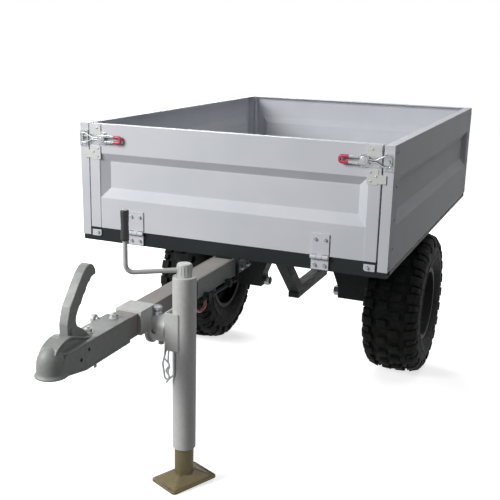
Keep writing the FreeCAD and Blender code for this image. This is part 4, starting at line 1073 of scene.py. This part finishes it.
@dataclass
class SideJack:
    """The swinging side jack: tube, swivel, saddle, crank, leg and foot."""

    x: float = 127.0
    y: float = -526.0
    pivot_z: float = 545.0
    tube_radius: float = 31.75
    tube_bore: float = 26.9
    crank_x: float = 5.0
    crank_y: float = -618.0
    pin_x: float = 46.0
    tube_bottom: float = 209.0
    tube_top: float = 698.0
    foot_z: float = 107.0
    foot_turn: float = 65.0

    def build_tube(self) -> None:
        """Builds the outer tube with its rolled ends."""
        low = self.tube_bottom
        high = self.tube_top
        radius = self.tube_radius
        outline = [(low, self.tube_bore), (low, radius - 0.95), (low + 1, radius), (low + 58, radius),
                   (high - 3, radius), (high - 0.8, radius - 0.85), (high, radius - 3.25), (high, 0), (high - 8, 0),
                   (high - 8, self.tube_bore)]
        work = Workpiece().lathe(outline, Axis.Z, (self.x, self.y, 0), 64)
        work.settle("jack_outer_tube", "jack", Slot.DULL_ZINC, ("jack_tube",), 40.0)

    def build_crank(self) -> None:
        """Builds the fluted cap, the bent crank rod and its grip."""
        low = self.tube_top
        work = Workpiece()
        cap = [(low - 0.5, 0), (low - 0.5, 19.4), (low + 1, 20), (low + 32, 20), (low + 34.5, 18), (low + 35, 16),
               (low + 35, 0)]
        work.lathe(cap, Axis.Z, (self.x, self.y, 0), 48)
        for turn in range(16):
            angle = 2 * math.pi * turn / 16
            centre = (self.x + 19.6 * math.cos(angle), self.y + 19.6 * math.sin(angle))
            work.bar((*centre, low + 3), (*centre, low + 29), 1.3, 0.5, 8)
        arm_z = low + 17.5
        corners = [(self.x, self.y, arm_z), (self.crank_x, self.crank_y, arm_z), (self.crank_x, self.crank_y, 879.5)]
        work.sweep(rounded_path(corners, 22, 10), 6.5, 20)
        work.settle("jack_crank_rod", "jack", Slot.DULL_ZINC, ("jack_crank",), 40.0)
        grip = [(800, 6.55), (800, 9.5), (802, 10.6), (806, 11), (840, 9.9), (874, 11), (878, 10.6), (880, 9.2),
                (880, 0), (879.6, 0), (879.6, 6.55)]
        handle = Workpiece().lathe(grip, Axis.Z, (self.crank_x, self.crank_y, 0), 32)
        handle.settle("crank_hand_grip", "jack", Slot.BLACK_PLASTIC, ("jack_crank_grip",), 40.0)

    def build_saddle(self) -> None:
        """Builds the saddle with its welds, and the hanging clip."""
        softened("jack_saddle", "jack", Slot.DULL_ZINC, 1.2)
        work = Workpiece()
        for sign in (1, -1):
            place = self.y + sign * 32.2
            work.weld((self.x - 1.8, place, 498), (self.x - 1.8, place, 599), 2.4)
        work.settle("saddle_welds", "jack", Slot.DULL_ZINC)
        front = self.y - 36.0
        clip = Workpiece()
        for shift, height in ((0.0, 0.0), (11.0, 6.0)):
            path = rounded_path([(88 + shift, front, 496), (86 + shift, front, 474 - height),
                                 (102, front, 458 - height),
                                 (90 + shift * 0.6, front, 440), (101, front, 424 - height), (92, front, 406)], 5, 5)
            clip.sweep(path, 2.3, 10)
        clip.settle("spring_clip_wires", "jack", Slot.BRIGHT_ZINC)

    def build_swivel(self) -> None:
        """Builds the swivel's mount, its lock knob and its stop bolt."""
        softened("jack_mount", "undercarriage", Slot.DULL_ZINC, 1.0)
        pin = Workpiece()
        base = self.pivot_z + 35
        outline = [(base - 1, 0), (base - 1, 12), (base + 8, 12), (base + 9.5, 10.6), (base + 9.5, 5.4),
                   (base + 13, 4.8), (base + 14, 9), (base + 16, 13), (base + 19, 14), (base + 23, 13.4),
                   (base + 26.4, 9), (base + 27, 0)]
        pin.lathe(outline, Axis.Z, (self.pin_x, self.y, 0), 36)
        pin.settle("swivel_lock_knob", "undercarriage", Slot.BRIGHT_ZINC, ("jack_lock_pin",), 40.0)
        bolt = Workpiece().hex_bolt((60, self.y - 6, self.pivot_z - 36.5), -Axis.Z.value, 15.0, False)
        bolt.settle("swivel_stop_bolt", "undercarriage", Slot.DULL_ZINC)

    def build_leg(self) -> None:
        """Builds the inner leg and the foot's pressing."""
        base = self.foot_z + 6.5
        outline = [(base, 22.5), (base, 26.5), (559, 26.5), (560, 25.5), (560, 22.5)]
        leg = Workpiece().lathe(outline, Axis.Z, (self.x, self.y, 0), 56)
        leg.settle("jack_inner_leg", "jack_inner", Slot.YELLOW_ZINC, ("jack_leg",), 40.0)
        outline = []
        for turn, (side, end) in enumerate(((1, 1), (-1, 1), (-1, -1), (1, -1))):
            for step in range(6):
                angle = math.radians(90 * turn + 18 * step)
                outline.append((side * 65 + 11 * math.cos(angle), end * 42 + 11 * math.sin(angle)))
        foot = Workpiece().slab(outline, Axis.Z, 0, 7, 2.0, 3)
        vertical = Matrix.Rotation(math.radians(self.foot_turn), 4, "Z")
        pressing = bmesh.ops.create_cone(foot.mesh, cap_ends=True, segments=4, radius1=math.sqrt(2), radius2=0.6,
                                         depth=1.0, matrix=Matrix.Rotation(math.pi / 4, 4, "Z"))["verts"]
        bmesh.ops.scale(foot.mesh, vec=(69.0, 47.0, 23.5), verts=pressing)
        bmesh.ops.translate(foot.mesh, vec=(0, 0, 17.0), verts=pressing)
        foot.round_around(pressing, 4.5, 4)
        foot.move(Matrix.Translation((self.x, self.y, self.foot_z)) @ vertical)
        foot.settle("jack_pressed_foot", "jack_inner", Slot.YELLOW_ZINC, ("jack_foot",), 50.0)

    def build(self) -> None:
        """Builds the jack's pieces."""
        self.build_tube()
        self.build_crank()
        self.build_saddle()
        self.build_swivel()
        self.build_leg()


@dataclass
class Undercarriage:
    """The drawbar, beam, truss and axle arch with their plates, bolts and welds."""

    half: float = 30.0
    bottom: float = 543.0
    plate_x: float = 36.0
    latch_x: float = 46.0

    def build_tubes(self) -> None:
        """Builds the tubes and plates with rolled corners."""
        softened("drawbar", "undercarriage", Slot.DRAWBAR_PAINT, 3.0, 3)
        softened("drawbar_side_plates", "undercarriage", Slot.CAST_GREY, 1.0)
        for node in ("front_strut", "lower_beam", "rear_strut", "axle_cross_beam", "axle_carriers"):
            softened(node, "undercarriage", Slot.CHASSIS_BLACK, 1.6)

    def build_plate_bolts(self) -> None:
        """Builds the bolts through the side plates and the drawbar."""
        work = Workpiece()
        for place in (62.0, 112.0):
            for height in (558.0, 588.0):
                work.hex_bolt((self.plate_x, place, height), Axis.X.value, 13.0, True, 3.0)
        work.repeat(MIRROR_X)
        work.settle("side_plate_bolts", "undercarriage", Slot.BRIGHT_ZINC)

    def build_latch_pull(self) -> None:
        """Builds the dipped red pull of the tipping latch."""
        x = self.latch_x
        corners = [(x, -236, 536), (x, -230, 512), (x, -270, 508), (x, -300, 522), (x, -300, 551)]
        work = Workpiece().sweep(rounded_path(corners, 9, 8), 4.2, 20)
        work.settle("latch_pull_dipped", "undercarriage", Slot.RED_VINYL, ("tip_latch_pull",))

    def build_welds(self) -> None:
        """Builds the welds of the truss and the axle arch."""
        work = Workpiece()
        for y in (765.0, 845.0):
            work.weld((104, y, 483), (320, y, 483), 3.0)
        work.repeat(MIRROR_X)
        low = self.bottom - 0.4
        for sign in (1, -1):
            work.weld((sign * self.half, 767, low), (sign * self.half, 843, low), 3.0)
            work.weld((sign * 22.5, 1046, 304.5), (sign * 22.5, 1089, 304.5), 2.6)
        work.settle("arch_welds", "undercarriage", Slot.CHASSIS_BLACK)

    def build(self) -> None:
        """Builds the undercarriage's pieces."""
        self.build_tubes()
        self.build_plate_bolts()
        self.build_latch_pull()
        self.build_welds()


@dataclass
class Studio:
    """The pale floor, the soft lamps and the camera of the photograph."""

    azimuth: float = 22.571
    pitch: float = 14.901
    roll: float = 1.341
    lens: float = 59.112
    camera_place: Point = (1071.3, -2356.6, 1319.0)
    film_width: float = 36.0
    lamp_target: Point = (0.0, 1.4, 0.0)
    floor_middle: float = 1.2
    floor_half: float = 30.0

    def build_camera(self) -> None:
        """Builds the camera at the photograph's place."""
        azimuth, pitch, roll = (math.radians(angle) for angle in (self.azimuth, self.pitch, self.roll))
        ahead = Vector((-math.sin(azimuth) * math.cos(pitch), math.cos(azimuth) * math.cos(pitch), -math.sin(pitch)))
        level = Vector((math.cos(azimuth), math.sin(azimuth), 0.0))
        upright = level.cross(ahead)
        right = math.cos(roll) * level + math.sin(roll) * upright
        up = -math.sin(roll) * level + math.cos(roll) * upright
        axes = Matrix((right, up, -ahead)).transposed().to_4x4()
        data = bpy.data.cameras.new("photo_camera")
        data.lens = self.lens
        data.sensor_width = self.film_width
        data.sensor_fit = "HORIZONTAL"
        data.clip_end = 200.0
        camera = linked("photo_camera", data)
        camera.matrix_world = Matrix.Translation(TO_ROW @ Vector(self.camera_place)) @ LEAN @ axes
        bpy.context.scene.camera = camera

    def build_lamp(self, name: str, place: Point, size: float, power: float) -> None:
        """Builds a soft square lamp that faces the box.

        Args:
            name: The lamp's name.
            place: Its place in metres in the row frame.
            size: Its side in metres.
            power: Its power in watts.
        """
        data = bpy.data.lights.new(name, "AREA")
        data.energy = power
        data.size = size
        aim = Vector(self.lamp_target) - Vector(place)
        turn = aim.to_track_quat("-Z", "Y").to_matrix().to_4x4()
        linked(name, data).matrix_world = Matrix.Translation(place) @ turn

    def white_to_camera(self, graph: NodeGraph, glossy: bool) -> Socket:
        """Returns a value that is 1 for the rays that should see the white background.

        Args:
            graph: The node tree that it is made in.
            glossy: Whether reflections see the background too.

        Returns:
            The value socket.
        """
        rays = graph.node("LightPath", {}).outputs
        seen = rays["Is Camera Ray"]
        for name in ("Is Glossy Ray", "Is Transmission Ray") if glossy else ():
            seen = graph.node("Math", {0: seen, 1: rays[name]}, operation="MAXIMUM").outputs[0]
        return seen

    def far_share(self, graph: NodeGraph) -> Socket:
        """Returns the floor's share of pure white, which grows away from the trailer.

        Args:
            graph: The node tree that it is made in.

        Returns:
            The value socket.
        """
        place = graph.node("TexCoord", {}).outputs["Object"]
        centred = graph.node("Mapping", {"Vector": place, "Location": (0.0, -self.floor_middle, 0.0)})
        away = graph.node("VectorMath", {0: centred.outputs["Vector"]}, operation="LENGTH")
        reach = {"From Min": 1.6, "From Max": 4.2, "To Min": 0.72, "To Max": 1.0}
        return graph.node("MapRange", {"Value": away.outputs["Value"], **reach}).outputs["Result"]

    def build_world(self) -> None:
        """Builds a dim even surround that looks white."""
        world = bpy.data.worlds.new("studio")
        world.use_nodes = True
        graph = NodeGraph(world.node_tree)
        ambient = graph.node("Background", {"Color": (0.93, 0.96, 1.0, 1.0), "Strength": 0.03})
        white = graph.node("Background", {"Color": (1.0, 1.0, 1.0, 1.0), "Strength": 1.0})
        mix = graph.node("MixShader", {0: self.white_to_camera(graph, True), 1: ambient.outputs[0],
                                       2: white.outputs[0]})
        graph.node("OutputWorld", {"Surface": mix.outputs[0]})
        bpy.context.scene.world = world

    def floor_finish(self) -> bpy.types.Material:
        """Returns the floor's finish: matt near the trailer, where it takes the shadow, and white far away."""
        material = bpy.data.materials.new("studio_floor")
        material.use_nodes = True
        graph = NodeGraph(material.node_tree)
        tone = graph.node("Mix", {"Factor": self.white_to_camera(graph, False), 6: (0.15, 0.15, 0.15, 1.0),
                                  7: (0.9, 0.9, 0.9, 1.0)}, data_type="RGBA")
        matt = graph.node("BsdfDiffuse", {"Color": tone.outputs[2]})
        glow = graph.node("Emission", {"Strength": 1.0})
        share = graph.node("Math", {0: self.white_to_camera(graph, True), 1: self.far_share(graph)},
                           operation="MULTIPLY")
        fade = graph.node("MixShader", {0: share.outputs[0], 2: glow.outputs[0]})
        mix = graph.node("AddShader", {0: matt.outputs[0], 1: fade.outputs[0]})
        graph.node("OutputMaterial", {"Surface": mix.outputs[0]})
        return material

    def build_floor(self) -> None:
        """Builds a wide pale floor that keeps a soft shadow."""
        lowest = CAD_BOX[0][2]
        work = bmesh.new()
        bmesh.ops.create_grid(work, x_segments=1, y_segments=1, size=self.floor_half,
                              matrix=Matrix.Translation((0, self.floor_middle, lowest - 0.0005)))
        data = bpy.data.meshes.new("studio_floor")
        work.to_mesh(data)
        work.free()
        data.materials.append(self.floor_finish())
        floor = linked("studio_floor", data)

    def build(self) -> None:
        """Builds the studio."""
        self.build_camera()
        self.build_world()
        self.build_floor()
        self.build_lamp("key_lamp", (-2.4, -2.3, 2.1), 2.2, 225.0)
        self.build_lamp("rear_fill_lamp", (-2.6, 5.4, 2.6), 2.6, 190.0)
        self.build_lamp("overhead_lamp", (1.5, 1.2, 3.7), 2.2, 24.0)
        bpy.context.scene.view_settings.view_transform = "Standard"


def dress_cad_nodes() -> None:
    """Gives every CAD node the finish of its slot."""
    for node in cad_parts.values():
        for holder in node.material_slots:
            holder.material = MATERIALS[holder.material.name.split(".")[0]]


def main() -> None:
    """Builds the finishes, the trailer's pieces and the studio."""
    logging.basicConfig(level=logging.INFO, format="%(message)s")
    LOG.info("the frame has %d nodes", len(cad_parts))
    for slot in Slot:
        name = slot.value.name
        if name in bpy.data.materials:
            bpy.data.materials[name].name = name + ".cad"
        MATERIALS[name] = slot.value.material()
    dress_cad_nodes()
    for side in (1, -1):
        Wheel(side).build()
    Box().build()
    for end in ("front", "rear"):
        GateFittings(end).build()
    softened("hinge_seats", "box", Slot.BOX_PAINT, 0.8)
    Coupler().build()
    SideJack().build()
    Undercarriage().build()
    Studio().build()


if __name__ == "__main__":
    main()
